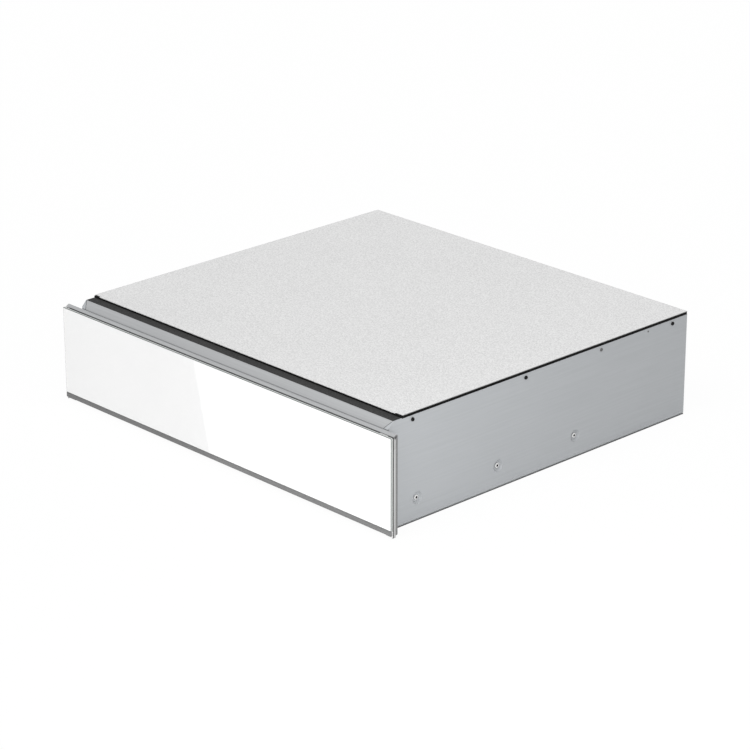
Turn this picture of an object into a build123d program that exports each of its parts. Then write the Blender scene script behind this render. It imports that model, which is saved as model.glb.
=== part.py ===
from build123d import *
import os
from math import cos, hypot, radians, sin, sqrt

# Built-in warming drawer for a 14 cm niche, opened by a push on its front. Millimetres.
# The origin is the middle of the footprint on the underside of the casing.
# +X points right as seen from the front, +Y to the back and +Z up.

# ---------------------------------------------------------------- driving dimensions

# Casing
casing_width = 556.0
casing_height = 138.0
total_depth = 530.0
sheet = 1.0
lid_sheet = 0.8
bend = 1.5
foot_flange = 15.0
front_flange = 18.0
lid_front_setback = 35.2
lid_skirt = 15.2
lid_notch_width = 11.0
lid_notch_depth = 2.5
seal_height = 2.7
seal_width = 0.8
seal_front_width = 5.0
seal_reach = 0.3
strip_height = 0.5
rear_recess = 12.0
rear_flange = 14.0

# Sloped band over the drawer front
nose_drop = 8.4
nose_run = 7.7
nose_skirt = 9.0
crossbar_reach = 23.5
tab_width = 7.0
tab_gap = 0.2

# Drawer front
front_width = 595.0
front_drop = 12.6
front_bottom_z = 4.5
glass_thickness = 4.0
glass_edge = 0.6
bond = 0.3
profile_depth = 3.3
profile_width = 12.5
profile_drop = 2.0
trim_height = 6.1
trim_inset = 1.2
trim_flange = 13.5
trim_recess = 0.2
trim_skin = 1.3
side_drop = 3.2
clip_height = 12.0
clip_radius = 3.0
carrier_depth = 3.4
carrier_rise = 3.4
carrier_drop = 1.3
carrier_lip_drop = 3.1
carrier_lip_gap = 0.8
carrier_corner = 0.8
carrier_sheet = 1.0
carrier_inset = 0.6

# Travel of the push latch and free space behind the front
push_in = 3.0
pop_out = 10.0
front_clearance = 0.4

# Telescopic rails
rail_height = 43.0
rail_thickness = 12.7
rail_sheet = 1.2
rail_mid_z = 28.6
rail_setback = 4.0
rail_rear_space = 48.4
rail_bend = 1.4
rail_lip = 2.2
outer_reach = 10.0
middle_web = 2.8
middle_reach = 11.0
inner_reach = 7.2
stop_reach = 7.0
stop_height = 12.0
ball_diameter = 3.5
ball_play = 0.05
ball_pitch = 38.0
balls_per_row = 3
cage_sheet = 0.5
cage_length = 110.0
cage_play = 0.1
cage_sides = 8
outer_cage_web = 2.0
outer_cage_reach = 8.2
outer_ball_reach = 5.3
inner_cage_web = 4.6
inner_cage_reach = 9.5
inner_ball_reach = 7.2

# Dishes for the rail screws, and all screws
dish_depth = 3.0
dish_radius = 8.0
dish_floor_radius = 5.2
dish_sides = 18
rail_screw_first = 60.8
rail_screw_pitch = 133.8
rail_screw_count = 3
rail_screw_shank = 2.0
rail_screw_head = 3.6
lid_screw_drop = 9.4
lid_screw_places = (52.6, 239.4)
lid_screw_rear_place = 27.8
lid_rivet_place = 372.6
lid_screw_shank = 1.6
lid_screw_head = 2.4
rivet_head = 2.6
head_height = 1.8
shank_sides = 6
head_sides = 10
hole_play = 0.15

# Tub
tub_left_reach = 252.0
tub_right_reach = 180.0
tub_bottom_z = 10.5
tub_headroom = 15.0
tub_rear_space = 105.0
tub_sheet = 0.8
tub_corner = 22.0
tub_floor_radius = 9.0
tub_floor_bend = 0.6
tub_rim = 5.0
mat_thickness = 2.0
mat_margin = 1.0

# Rail brackets and their screws in the drawer front
bracket_sheet = 1.5
bracket_top_z = 48.0
bracket_left_reach = 60.0
bracket_right_reach = 120.0
bracket_tab_margin = 8.0
bracket_screw_inset = 12.0
bracket_screw_rises = (16.0, 31.0)
bracket_shank = 2.0
bracket_head = 4.2
bumper_radius = 5.0
bumper_height = 1.2
bumper_inset = 8.5
bumper_rises = (66.0, 108.0)

# Push latch
latch_x = -120.0
latch_z = 32.0
plunger_width = 12.0
plunger_height = 8.0
plunger_length = 46.0
plunger_gap = 0.3
plunger_play = 0.1
latch_wall = 5.0
latch_spare = 6.0
striker_thickness = 2.0
striker_size = 30.0

# Rear air baffle, fan and heater
baffle_gap = 9.0
baffle_half_width = 256.0
baffle_shoulder_z = 54.0
outlet_slots = 14
outlet_pitch = 26.0
outlet_slot_length = 18.0
outlet_slot_height = 7.0
outlet_drop = 5.5
slot_corner = 0.3
intake_slots = 7
intake_slot_height = 4.5
intake_inset = 4.0
fan_x = -30.0
fan_rise = 3.0
wheel_hub_radius = 7.0
wheel_sheet = 1.0
blade_count = 16
blade_length = 15.0
blade_depth = 16.0
blade_sweep = 32.0
wheel_gap = 8.0
shaft_radius = 2.5
shaft_length = 30.0
bearing_play = 0.06
motor_width = 52.0
motor_height = 44.0
motor_depth = 14.0
motor_drop = 6.0
motor_corner = 3.0
motor_coil_width = 24.0
motor_coil_height = 16.0
bearing_radius = 9.0
bearing_length = 5.0
post_radius = 3.0
element_space = 13.0
element_gap = 10.0
element_tube = 3.2
element_sides = 6
element_steps = 22
element_gap_angle = 24.0
element_plate = 2.0
cutout_radius = 8.0
cutout_height = 7.0
cutout_x = 60.0
cutout_ear = 5.0
blade_terminal_width = 6.0
blade_terminal_length = 7.0

# Inner ceiling
shield_sheet = 0.8
shield_drop = 19.0
shield_rise = 12.0
mat_clearance = 0.3
mat_corner = 6.0

# Control plate, knob, rocker and lamp
control_gap = 7.0
control_setback = 14.0
control_height = 65.0
control_depth = 120.0
control_flange = 28.0
knob_x = 214.0
knob_drop = 26.0
knob_radius = 15.0
knob_height = 11.0
knob_taper = 0.08
knob_edge = 1.2
knob_stem_radius = 3.0
knob_gap = 0.8
knob_ribs = 24
stem_play = 0.1
thermostat_size = 34.0
thermostat_depth = 26.0
thermostat_corner = 3.0
rocker_x = 223.0
rocker_drop = 53.0
rocker_width = 24.0
rocker_height = 10.0
rocker_tilt = 8.0
rocker_thickness = 7.0
rocker_root = 0.72
rocker_play = 0.5
bezel_rim = 2.0
bezel_height = 1.4
switch_depth = 22.0
switch_play = 0.05
lamp_x = 246.0
lamp_drop = 25.0
lamp_radius = 4.0
lamp_lens = 3.0
lamp_tip = 2.0
lamp_length = 20.0

# Rear panel fittings and mounts
gland_x = 200.0
gland_z = 30.0
gland_radius = 8.0
gland_sides = 12
gland_flange = 12.0
gland_bore = 4.0
gland_out = 9.0
gland_in = 12.0
terminal_width = 36.0
terminal_depth = 22.0
terminal_height = 14.0
terminal_ways = 3
terminal_setback = 36.0
vent_count = 8
vent_pitch = 14.0
vent_length = 40.0
vent_width = 5.0
vent_x = 120.0
vent_z = 66.0
fixing_spacing = 480.0
fixing_radius = 2.25
fixing_setback = 14.0

# ---------------------------------------------------------------- places that follow

front_y = -total_depth / 2
back_y = total_depth / 2
front_half = front_width / 2
front_top_z = casing_height - front_drop
profile_y = front_y + glass_thickness + bond
profile_top_z = front_top_z - profile_drop
carrier_y = profile_y + profile_depth
carrier_back_y = carrier_y + carrier_depth
casing_y = carrier_back_y + bumper_height + push_in + front_clearance

wall_x = casing_width / 2
wall_in_x = wall_x - sheet
lid_under_z = casing_height - lid_sheet
wall_top_z = lid_under_z - seal_height
crossbar_z = wall_top_z - sheet / 2
nose_y = carrier_back_y + push_in + front_clearance + sheet / 2
nose_z = crossbar_z - nose_drop
knee_y = nose_y + nose_run
crossbar_rear_y = knee_y + crossbar_reach
rear_panel_y = back_y - rear_recess
shield_z = casing_height - shield_drop
lid_screw_z = casing_height - lid_screw_drop

rail_y = casing_y + rail_setback
rail_end_y = rear_panel_y - rail_rear_space
rail_web_x = wall_in_x - dish_depth
rail_in_x = rail_web_x - rail_thickness
rail_half = rail_height / 2
ball_radius = ball_diameter / 2
ball_slot = ball_diameter + 2 * ball_play
outer_race = rail_half - rail_sheet
middle_outer = outer_race - ball_slot
middle_race = middle_outer - rail_sheet
inner_outer = middle_race - ball_slot
outer_row = (outer_race + middle_outer) / 2
inner_row = (middle_race + inner_outer) / 2

tub_left = -tub_left_reach
tub_right = tub_right_reach
tub_front_y = carrier_back_y + bracket_sheet
tub_rear_y = back_y - tub_rear_space
tub_floor_z = tub_bottom_z + tub_sheet
tub_top_z = shield_z - tub_headroom
left_screw_x = tub_left + tub_corner + bracket_head + hole_play
right_screw_x = rail_in_x - bracket_screw_inset

baffle_y = tub_rear_y + baffle_gap
fan_z = (shield_z + sheet) / 2 + fan_rise
element_radius = (shield_z - sheet) / 2 - element_space
wheel_radius = element_radius - element_gap
intake_radius = wheel_radius - intake_inset
intake_pitch = 2 * intake_radius / intake_slots
wheel_back_y = baffle_y + sheet + wheel_gap + blade_depth
shaft_end_y = wheel_back_y + shaft_length
plunger_front_y = tub_rear_y + striker_thickness + plunger_gap

control_y = casing_y + control_setback
control_left = tub_right + control_gap
control_bottom_z = shield_z - control_height
knob_z = shield_z - knob_drop
rocker_z = shield_z - rocker_drop
lamp_z = shield_z - lamp_drop

# ---------------------------------------------------------------- helpers


def block(x0, x1, y0, y1, z0, z1):
    """A box between two opposite corners."""
    middle = ((x0 + x1) / 2, (y0 + y1) / 2, (z0 + z1) / 2)
    return Pos(*middle) * Box(x1 - x0, y1 - y0, z1 - z0)


def along_x(face, x0, x1):
    """Extrudes a face drawn in (y, z) from x0 to x1."""
    plane = Plane((x0, 0, 0), x_dir=(0, 1, 0), z_dir=(1, 0, 0))
    return extrude(plane * face, amount=x1 - x0)


def along_y(face, y0, y1):
    """Extrudes a face drawn in (x, z) from y0 to y1."""
    plane = Plane((0, y1, 0), x_dir=(1, 0, 0), z_dir=(0, -1, 0))
    return extrude(plane * face, amount=y1 - y0)


def along_z(face, z0, z1):
    """Extrudes a face drawn in (x, y) from z0 to z1."""
    return extrude(Plane.XY.offset(z0) * face, amount=z1 - z0)


def folded(points, thickness, radius):
    """The section of a sheet that is bent along a line through its middle."""
    return trace(FilletPolyline(*points, radius=radius), line_width=thickness)


def rod_x(radius, x0, x1, y, z):
    """A round rod along X."""
    return along_x(Pos(y, z) * Circle(radius), x0, x1)


def rod_y(radius, y0, y1, x, z):
    """A round rod along Y."""
    return along_y(Pos(x, z) * Circle(radius), y0, y1)


def rod_z(radius, z0, z1, x, y):
    """A round rod along Z."""
    return along_z(Pos(x, y) * Circle(radius), z0, z1)


def slot_y(length, height, x, z, y0, y1):
    """A cutter along Y for a level slot, its corners cut off in place of round ends."""
    outline = Rectangle(length, height)
    outline = chamfer(outline.vertices(), slot_corner * min(length, height))
    return along_y(Pos(x, z) * outline, y0, y1)


def screw_hole(radius):
    """The section of a hole with room for a screw of this radius, with few sides."""
    return RegularPolygon(radius + hole_play, shank_sides, major_radius=False)


def hole_x(radius, x0, x1, y, z):
    """A cutter for a screw hole along X."""
    return along_x(Pos(y, z) * screw_hole(radius), x0, x1)


def hole_y(radius, y0, y1, x, z):
    """A cutter for a screw hole along Y."""
    return along_y(Pos(x, z) * screw_hole(radius), y0, y1)


def mirrored(solid):
    """The same piece on the left side."""
    return mirror(solid, about=Plane.YZ)


def lid_screw_ys():
    """Places of the lid screws along the walls."""
    return [front_y + place for place in lid_screw_places] + [back_y - lid_screw_rear_place]


def rail_screw_ys():
    """Places of the rail screws along the walls."""
    first = front_y + rail_screw_first
    return [first + i * rail_screw_pitch for i in range(rail_screw_count)]


# ---------------------------------------------------------------- casing


def make_base_pan():
    """Floor sheet with the two fixing holes close to the front."""
    pan = block(-wall_x, wall_x, casing_y, back_y, 0, sheet)
    for x in (-fixing_spacing / 2, fixing_spacing / 2):
        pan -= rod_z(fixing_radius, -sheet, 2 * sheet, x, casing_y + fixing_setback)
    return pan


def nose_outline(rise):
    """Outline in (y, z) of what lies in front of the sloped band, from the nose up."""
    top = casing_height + rise
    nose = (nose_y - sheet / 2, nose_z + sheet / 2)
    knee = (knee_y - sheet / 2, crossbar_z + sheet / 2)
    ahead = front_y
    return Polyline((ahead, nose[1]), nose, knee, (knee[0], top), (ahead, top), close=True)


def slope_tab(play=0.0):
    """The corner of the right wall, folded in over the end of the band, grown by the play."""
    place = Plane(
        (wall_in_x, nose_y, nose_z),
        x_dir=(0, nose_run, nose_drop),
        z_dir=(0, -nose_drop, nose_run),
    )
    corner = make_face(Polyline((0, 0), (hypot(nose_run, nose_drop), 0), (0, tab_width), close=True))
    if play:
        corner = offset(corner, amount=play, kind=Kind.INTERSECTION)
    return extrude(place * corner, amount=sheet / 2 + play, both=True)


def rail_dish(y):
    """A round dish pressed into the wall, with the hole for a rail screw in its floor."""
    x0, x1 = wall_x - dish_depth, wall_x
    place = Plane((x0, y, rail_mid_z), x_dir=(0, 1, 0), z_dir=(1, 0, 0))
    floor, rim = RegularPolygon(dish_floor_radius, dish_sides), RegularPolygon(dish_radius, dish_sides)
    hollow = place * loft([floor, Pos(0, 0, dish_depth) * rim], ruled=True)
    dish = Pos(-sheet, 0, 0) * hollow
    dish += along_x(Pos(y, rail_mid_z) * rim, wall_in_x, wall_x)
    return dish - hollow - hole_x(rail_screw_shank, x0 - 2 * sheet, x1 + sheet, y, rail_mid_z)


def make_side_panel():
    """Right side wall: foot flange, front flange, mitred tab, dishes and screw holes."""
    middle_x = wall_x - sheet / 2
    foot_z = 1.5 * sheet
    section = folded([(middle_x, wall_top_z), (middle_x, foot_z), (wall_x - foot_flange, foot_z)], sheet, bend)
    wall = along_y(section, casing_y, back_y)
    wall -= along_x(make_face(nose_outline(sheet)), 0, wall_x + sheet)
    flange_x = wall_in_x - front_flange
    flange_top_z = nose_z - nose_skirt - tab_gap
    wall += block(flange_x, wall_in_x, casing_y, casing_y + sheet, control_bottom_z, flange_top_z)
    wall += slope_tab()
    for y in rail_screw_ys():
        rim = Pos(y, rail_mid_z) * RegularPolygon(dish_radius, dish_sides)
        wall -= along_x(rim, wall_in_x - sheet, wall_x + sheet)
        wall += rail_dish(y)
    holes = [(y, lid_screw_shank) for y in lid_screw_ys()]
    holes.append((front_y + lid_rivet_place, lid_screw_shank))
    for y, radius in holes:
        wall -= hole_x(radius, wall_in_x - sheet, wall_x + sheet, y, lid_screw_z)
    return wall


def make_rear_panel():
    """Rear wall set in between the side walls, with vents and the hole for the gland."""
    middle_y = rear_panel_y + sheet / 2
    foot_z = 1.5 * sheet
    points = [(middle_y, lid_under_z - mat_clearance), (middle_y, foot_z), (rear_panel_y - rear_flange, foot_z)]
    panel = along_x(folded(points, sheet, bend), -wall_in_x, wall_in_x)
    foot_x = wall_x - foot_flange - mat_clearance
    for x0, x1 in ((-wall_x, -foot_x), (foot_x, wall_x)):
        panel -= block(x0, x1, rear_panel_y - 2 * rear_flange, back_y, 0, 2 * sheet + bend + mat_clearance)
    opening = RegularPolygon(gland_radius + hole_play, gland_sides)
    panel -= along_y(Pos(gland_x, gland_z) * opening, rear_panel_y - sheet, back_y)
    first = vent_x - vent_pitch * (vent_count - 1) / 2
    for i in range(vent_count):
        panel -= slot_y(vent_width, vent_length, first + i * vent_pitch, vent_z, rear_panel_y - sheet, back_y)
    return panel


def make_crossbar():
    """Front crossbar whose sloped band closes the casing above the drawer front."""
    points = [
        (crossbar_rear_y, shield_z), (crossbar_rear_y, crossbar_z),
        (knee_y, crossbar_z), (nose_y, nose_z), (nose_y, nose_z - nose_skirt),
    ]
    bar = along_x(folded(points, sheet, bend), -wall_in_x, wall_in_x)
    notch = slope_tab(tab_gap)
    return bar - notch - mirrored(notch)


def make_lid():
    """Top sheet with skirts that stand inside the walls, drilled for the lid screws."""
    lid_y = front_y + lid_front_setback
    lid = block(-wall_x, wall_x, lid_y, back_y, lid_under_z, casing_height)
    notch_x, notch_y = wall_x - lid_notch_width, lid_y + lid_notch_depth
    notch = block(notch_x, wall_x, lid_y, notch_y, lid_under_z, casing_height)
    lid -= notch + mirrored(notch)
    skirt_z = lid_under_z - lid_skirt
    skirt_y0, skirt_y1 = crossbar_rear_y + sheet / 2, rear_panel_y
    for x0 in (-wall_in_x, wall_in_x - sheet):
        lid += block(x0, x0 + sheet, skirt_y0, skirt_y1, skirt_z, lid_under_z)
    lid += block(-wall_in_x, wall_in_x, rear_panel_y - sheet, rear_panel_y, skirt_z, lid_under_z)
    for y in lid_screw_ys() + [front_y + lid_rivet_place]:
        for side in (1, -1):
            x0, x1 = sorted((side * (wall_in_x - 2 * sheet), side * wall_x))
            lid -= hole_x(lid_screw_shank, x0, x1, y, lid_screw_z)
    return lid


def make_lid_seal():
    """Black seal between the lid and the top edges of the walls."""
    seal_y = front_y + lid_front_setback - seal_reach
    outer_x = wall_x - (sheet - seal_width) / 2
    inner_x = outer_x - seal_width
    seal = block(inner_x, outer_x, seal_y, back_y - seal_width, wall_top_z, lid_under_z)
    seal += mirrored(seal)
    return seal + block(-outer_x, outer_x, seal_y, seal_y + seal_front_width, wall_top_z, lid_under_z)


def make_front_strip():
    """Dark foam strip on the crossbar between the sloped band and the lid."""
    end_y = front_y + lid_front_setback - seal_reach
    return block(-wall_x + sheet, wall_in_x, knee_y, end_y, wall_top_z, wall_top_z + strip_height)


def screw(shank_radius, head_radius, length):
    """A screw along Z with few sides: its head stands on Z = 0 and its shank goes down."""
    shank = extrude(RegularPolygon(shank_radius, shank_sides), amount=-length)
    return shank + extrude(RegularPolygon(head_radius, head_sides), amount=head_height)


def driven(piece, place, outward):
    """A screw set at a place, its head on the outward side."""
    return Plane(place, z_dir=outward) * piece


def wall_screws(piece, x, places, z):
    """The same screw at each place along the right wall and along the left one."""
    pairs = [(side, y) for y in places for side in (1, -1)]
    return Compound(children=[driven(piece, (side * x, y, z), (side, 0, 0)) for side, y in pairs])


def make_lid_screws():
    """Black screws through both walls into the skirts of the lid."""
    piece = screw(lid_screw_shank, lid_screw_head, 2 * sheet)
    return wall_screws(piece, wall_x, lid_screw_ys(), lid_screw_z)


def make_lid_rivets():
    """Plain rivets between the second and the third lid screw."""
    piece = screw(lid_screw_shank, rivet_head, 2 * sheet)
    return wall_screws(piece, wall_x, [front_y + lid_rivet_place], lid_screw_z)


def make_rail_screws():
    """Screws in the dishes that hold the outer rail members."""
    piece = screw(rail_screw_shank, rail_screw_head, sheet + rail_sheet)
    return wall_screws(piece, wall_x - dish_depth, rail_screw_ys(), rail_mid_z)


def make_heat_shield():
    """Inner ceiling, a shallow tray that hangs between the lid skirts."""
    x1 = wall_in_x - sheet
    y0, y1 = crossbar_rear_y + sheet / 2, rear_panel_y - sheet
    top = shield_z + shield_rise
    tray = block(-x1, x1, y0, y1, shield_z, top)
    t = shield_sheet
    return tray - block(-x1 + t, x1 - t, y0 + t, y1 - t, shield_z + t, top + t)


def make_insulation():
    """Mineral wool mat between the inner ceiling and the lid."""
    inset = shield_sheet + mat_clearance
    x1 = wall_in_x - sheet - inset
    y0, y1 = crossbar_rear_y + sheet / 2 + inset, rear_panel_y - sheet - inset
    mat = block(-x1, x1, y0, y1, shield_z + shield_sheet, lid_under_z - mat_clearance)
    return chamfer(mat.edges().filter_by(Axis.Z), mat_corner)


def make_air_baffle():
    """Sheet behind the tub: outlet slots over the rim, intake slots before the fan."""
    y0, y1 = baffle_y, baffle_y + sheet
    low = block(-baffle_half_width, baffle_half_width, y0, y1, sheet, shield_z)
    plate = low + block(-wall_in_x, wall_in_x, y0, y1, baffle_shoulder_z, shield_z)
    plate += block(-baffle_half_width, baffle_half_width, y0, y1 + rear_flange, sheet, 2 * sheet)
    slot_z = shield_z - outlet_drop
    first = fan_x - outlet_pitch * (outlet_slots - 1) / 2
    for i in range(outlet_slots):
        x = first + i * outlet_pitch
        plate -= slot_y(outlet_slot_length, outlet_slot_height, x, slot_z, y0 - sheet, y1 + sheet)
    for i in range(intake_slots):
        rise = (i - (intake_slots - 1) / 2) * intake_pitch
        length = 2 * sqrt(intake_radius**2 - rise**2)
        plate -= slot_y(length, intake_slot_height, fan_x, fan_z + rise, y0 - sheet, y1 + sheet)
    half_w, half_h = plunger_width / 2 + plunger_play, plunger_height / 2 + plunger_play
    plate -= block(latch_x - half_w, latch_x + half_w, y0 - sheet, y1 + sheet, latch_z - half_h, latch_z + half_h)
    return plate


# ---------------------------------------------------------------- fan, heater, rear fittings


def make_fan_motor():
    """Shaded pole motor on two posts, with a bearing bored for the fan shaft."""
    y0 = wheel_back_y + wheel_gap
    y1 = y0 + motor_depth
    half_w, half_h, z = motor_width / 2, motor_height / 2, fan_z - motor_drop
    core = block(fan_x - half_w, fan_x + half_w, y0, y1, z - half_h, z + half_h)
    motor = chamfer(core.edges().filter_by(Axis.Y), motor_corner)
    half_coil, coil_z = motor_coil_width / 2, z - half_h
    coil = block(
        fan_x - half_coil, fan_x + half_coil, y0 - post_radius, y1 + post_radius,
        coil_z, coil_z + motor_coil_height,
    )
    motor += chamfer(coil.edges().filter_by(Axis.Z), motor_corner / 2)
    bearing = RegularPolygon(bearing_radius, gland_sides)
    motor += along_y(Pos(fan_x, fan_z) * bearing, y0 - bearing_length, y1 + bearing_length)
    for side in (1, -1):
        place = Pos(fan_x + side * (half_w - 2 * post_radius), z + half_h - 2 * post_radius)
        motor += along_y(place * RegularPolygon(post_radius, shank_sides), y1, rear_panel_y)
    return motor - rod_y(shaft_radius + bearing_play, baffle_y, shaft_end_y, fan_x, fan_z)


def make_fan_wheel():
    """Fan wheel on its shaft: a disc with swept blades on the side of the baffle."""
    disc_y = wheel_back_y
    y0 = disc_y - blade_depth
    centre = Pos(fan_x, fan_z)
    disc = centre * RegularPolygon(wheel_radius, 2 * blade_count)
    wheel = along_y(disc, disc_y - wheel_sheet, disc_y)
    hub = centre * RegularPolygon(wheel_hub_radius, gland_sides)
    wheel += along_y(hub, y0 + blade_depth / 2, disc_y + wheel_sheet)
    section = Rectangle(blade_length, wheel_sheet)
    out = wheel_radius - blade_length / 2
    for i in range(blade_count):
        turn = centre * Rot(0, 0, i * 360 / blade_count) * Pos(out, 0) * Rot(0, 0, blade_sweep)
        wheel += along_y(turn * section, y0, disc_y - wheel_sheet)
    return wheel + rod_y(shaft_radius, disc_y, shaft_end_y - plunger_gap, fan_x, fan_z)


def make_heating_element():
    """Ring element around the fan wheel, with both ends led back to a plate."""
    ring_y = baffle_y + sheet + wheel_gap + blade_depth / 2
    plate_y = rear_panel_y - element_plate
    sweep_angle = 360 - 2 * element_gap_angle
    path = []
    for i in range(element_steps + 1):
        angle = radians(element_gap_angle - 90 + i * sweep_angle / element_steps)
        path.append((fan_x + element_radius * cos(angle), ring_y, fan_z + element_radius * sin(angle)))
    ends = [(x, plate_y, z) for x, y, z in (path[0], path[-1])]
    line = Polyline(ends[0], *path, ends[1])
    start = Plane(ends[0], z_dir=(0, -1, 0))
    tube = sweep(start * RegularPolygon(element_tube, element_sides), path=line, transition=Transition.RIGHT)
    pad = 3 * element_tube
    (x1, y, z), (x0, y, z) = ends
    plate = block(x0 - pad, x1 + pad, plate_y, rear_panel_y, z - pad, z + pad)
    return tube + chamfer(plate.edges().filter_by(Axis.Y), element_tube)


def make_thermal_cutout():
    """Disc thermostat on the back of the baffle."""
    y0 = baffle_y + sheet
    y1 = y0 + cutout_height
    body = along_y(Pos(cutout_x, fan_z) * RegularPolygon(cutout_radius, gland_sides), y0, y1)
    reach = cutout_radius + cutout_ear
    body += block(cutout_x - reach, cutout_x + reach, y0, y0 + sheet, fan_z - cutout_ear / 2, fan_z + cutout_ear / 2)
    for x in (cutout_x - cutout_radius / 2, cutout_x + cutout_radius / 2):
        body += blade_terminal(x, y1, fan_z)
    return body


def blade_terminal(x, y, z):
    """An upright flat terminal that stands out to the back."""
    half = blade_terminal_width / 2
    return block(x - sheet / 2, x + sheet / 2, y, y + blade_terminal_length, z - half, z + half)


def make_terminal_block():
    """Three-way terminal block on the floor, in front of the gland."""
    y1 = rear_panel_y - terminal_setback
    x0 = gland_x - terminal_width / 2
    body = block(x0, x0 + terminal_width, y1 - terminal_depth, y1, sheet, sheet + terminal_height)
    way = terminal_width / terminal_ways
    for i in range(terminal_ways):
        x = x0 + (i + 0.5) * way
        well = Pos(x, y1 - terminal_depth / 2) * RegularPolygon(way / 3, shank_sides)
        body -= along_z(well, sheet + terminal_height / 2, 2 * terminal_height)
        body -= hole_y(way / 4, y1 - terminal_depth / 3, y1 + sheet, x, sheet + terminal_height / 3)
    return body


def make_cable_gland():
    """Bush with a flange and a nut in the rear panel; its bore takes the mains cord."""
    panel_back = rear_panel_y + sheet
    place = Pos(gland_x, gland_z)
    body = place * RegularPolygon(gland_radius, gland_sides)
    gland = along_y(body, rear_panel_y - gland_in, panel_back + gland_out)
    flange = place * RegularPolygon(gland_flange, gland_sides)
    gland += along_y(flange, panel_back, panel_back + gland_out / 3)
    nut = place * RegularPolygon(gland_flange, gland_sides // 2)
    gland += along_y(nut, rear_panel_y - gland_in / 2, rear_panel_y)
    bore = rod_y(gland_bore, rear_panel_y - 2 * gland_in, back_y, gland_x, gland_z)
    return gland - bore


# ---------------------------------------------------------------- control plate


def make_control_plate():
    """Plate right of the tub, with a flange on the wall and a shield along the tub."""
    points = [
        (wall_in_x - sheet / 2, control_y + control_flange), (wall_in_x - sheet / 2, control_y + sheet / 2),
        (control_left + sheet / 2, control_y + sheet / 2), (control_left + sheet / 2, control_y + control_depth),
    ]
    plate = along_z(folded(points, sheet, bend), control_bottom_z, shield_z)
    y0, y1 = control_y - sheet, control_y + 2 * sheet
    plate -= hole_y(knob_stem_radius, y0, y1, knob_x, knob_z)
    plate -= hole_y(lamp_radius, y0, y1, lamp_x, lamp_z)
    half_w, half_h = rocker_width / 2 + 2 * rocker_play, rocker_height / 2 + 2 * rocker_play
    return plate - block(rocker_x - half_w, rocker_x + half_w, y0, y1, rocker_z - half_h, rocker_z + half_h)


def make_thermostat():
    """Thermostat body on the back of the control plate, bored for the knob's stem."""
    y0 = control_y + sheet
    y1 = y0 + thermostat_depth
    half = thermostat_size / 2
    body = block(knob_x - half, knob_x + half, y0, y1, knob_z - half, knob_z + half)
    body = chamfer(body.edges().filter_by(Axis.Y), thermostat_corner)
    bore = rod_y(knob_stem_radius + stem_play, control_y, y0 + thermostat_depth / 2, knob_x, knob_z)
    for x in (knob_x - half / 2, knob_x + half / 2):
        body += blade_terminal(x, y1, knob_z)
    return body - bore


def ribbed(radius):
    """Outline of a grip with ribs, half of its points set in by the depth of a groove."""
    points = []
    for i in range(2 * knob_ribs):
        reach = radius - knob_edge * (i % 2)
        angle = radians(i * 180 / knob_ribs)
        points.append((reach * cos(angle), reach * sin(angle)))
    return make_face(Polyline(*points, close=True))


def make_knob():
    """Ribbed, slightly conical knob with a pointer groove, its stem in the thermostat."""
    grip_height = knob_height - knob_edge
    top_scale = 1 - knob_taper
    ends = [ribbed(knob_radius), Pos(0, 0, grip_height) * ribbed(knob_radius * top_scale)]
    cap_radius = (knob_radius - knob_edge) * top_scale
    cap = Pos(0, 0, grip_height) * extrude(RegularPolygon(cap_radius, knob_ribs), amount=knob_edge)
    groove = Pos(0, cap_radius / 2, knob_height) * Box(knob_edge, cap_radius, knob_edge)
    knob = loft(ends, ruled=True) + cap - groove
    base_y = control_y - knob_gap
    knob = Plane((knob_x, base_y, knob_z), x_dir=(1, 0, 0), z_dir=(0, -1, 0)) * knob
    stem_end = control_y + sheet + thermostat_depth / 2 - plunger_gap
    return knob + rod_y(knob_stem_radius, base_y, stem_end, knob_x, knob_z)


def make_switch():
    """Rocker switch housing with its bezel on the control plate."""
    half_w, half_h = rocker_width / 2, rocker_height / 2
    outer = (half_w + rocker_play + bezel_rim, half_h + rocker_play + bezel_rim)
    bezel = block(
        rocker_x - outer[0], rocker_x + outer[0], control_y - bezel_height, control_y,
        rocker_z - outer[1], rocker_z + outer[1],
    )
    bezel = chamfer(bezel.edges().filter_by(Axis.Y), bezel_rim / 2)
    wide, high = half_w + 2 * rocker_play - switch_play, half_h + 2 * rocker_play - switch_play
    y1 = control_y + switch_depth
    body = block(rocker_x - wide, rocker_x + wide, control_y, y1, rocker_z - high, rocker_z + high)
    wide, high = half_w + rocker_play, half_h + rocker_play
    y0, y1 = control_y - 2 * bezel_height, control_y + rocker_thickness
    well = block(rocker_x - wide, rocker_x + wide, y0, y1, rocker_z - high, rocker_z + high)
    return bezel + body - well


def make_rocker():
    """Rocker cap, hollowed towards its middle and tilted to its resting side."""
    half_w = rocker_width / 2
    dip = sin(radians(rocker_tilt)) * half_w
    rise = bezel_height + dip / 2
    root_w, root_y = half_w * rocker_root, rocker_thickness / 2
    outline = Polyline(
        (-half_w, -rise), (0, dip - rise), (half_w, -rise), (root_w, root_y), (-root_w, root_y), close=True,
    )
    cap = along_z(make_face(outline), -rocker_height / 2, rocker_height / 2)
    return Pos(rocker_x, control_y, rocker_z) * Rot(0, 0, rocker_tilt) * cap


def make_lamp():
    """Pilot lamp in the control plate: body, collar and a lens that narrows to its tip."""
    front = control_y - sheet
    place = Pos(lamp_x, lamp_z)
    body = along_y(place * RegularPolygon(lamp_radius, shank_sides), front, control_y + lamp_length)
    collar = along_y(place * RegularPolygon(lamp_radius + sheet, gland_sides), front, control_y)
    foot, tip = RegularPolygon(lamp_lens, gland_sides), RegularPolygon(lamp_tip, gland_sides)
    lens = loft([foot, Pos(0, 0, lamp_tip) * tip], ruled=True)
    return body + collar + Plane((lamp_x, front, lamp_z), z_dir=(0, -1, 0)) * lens


# ---------------------------------------------------------------- push latch


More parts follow.
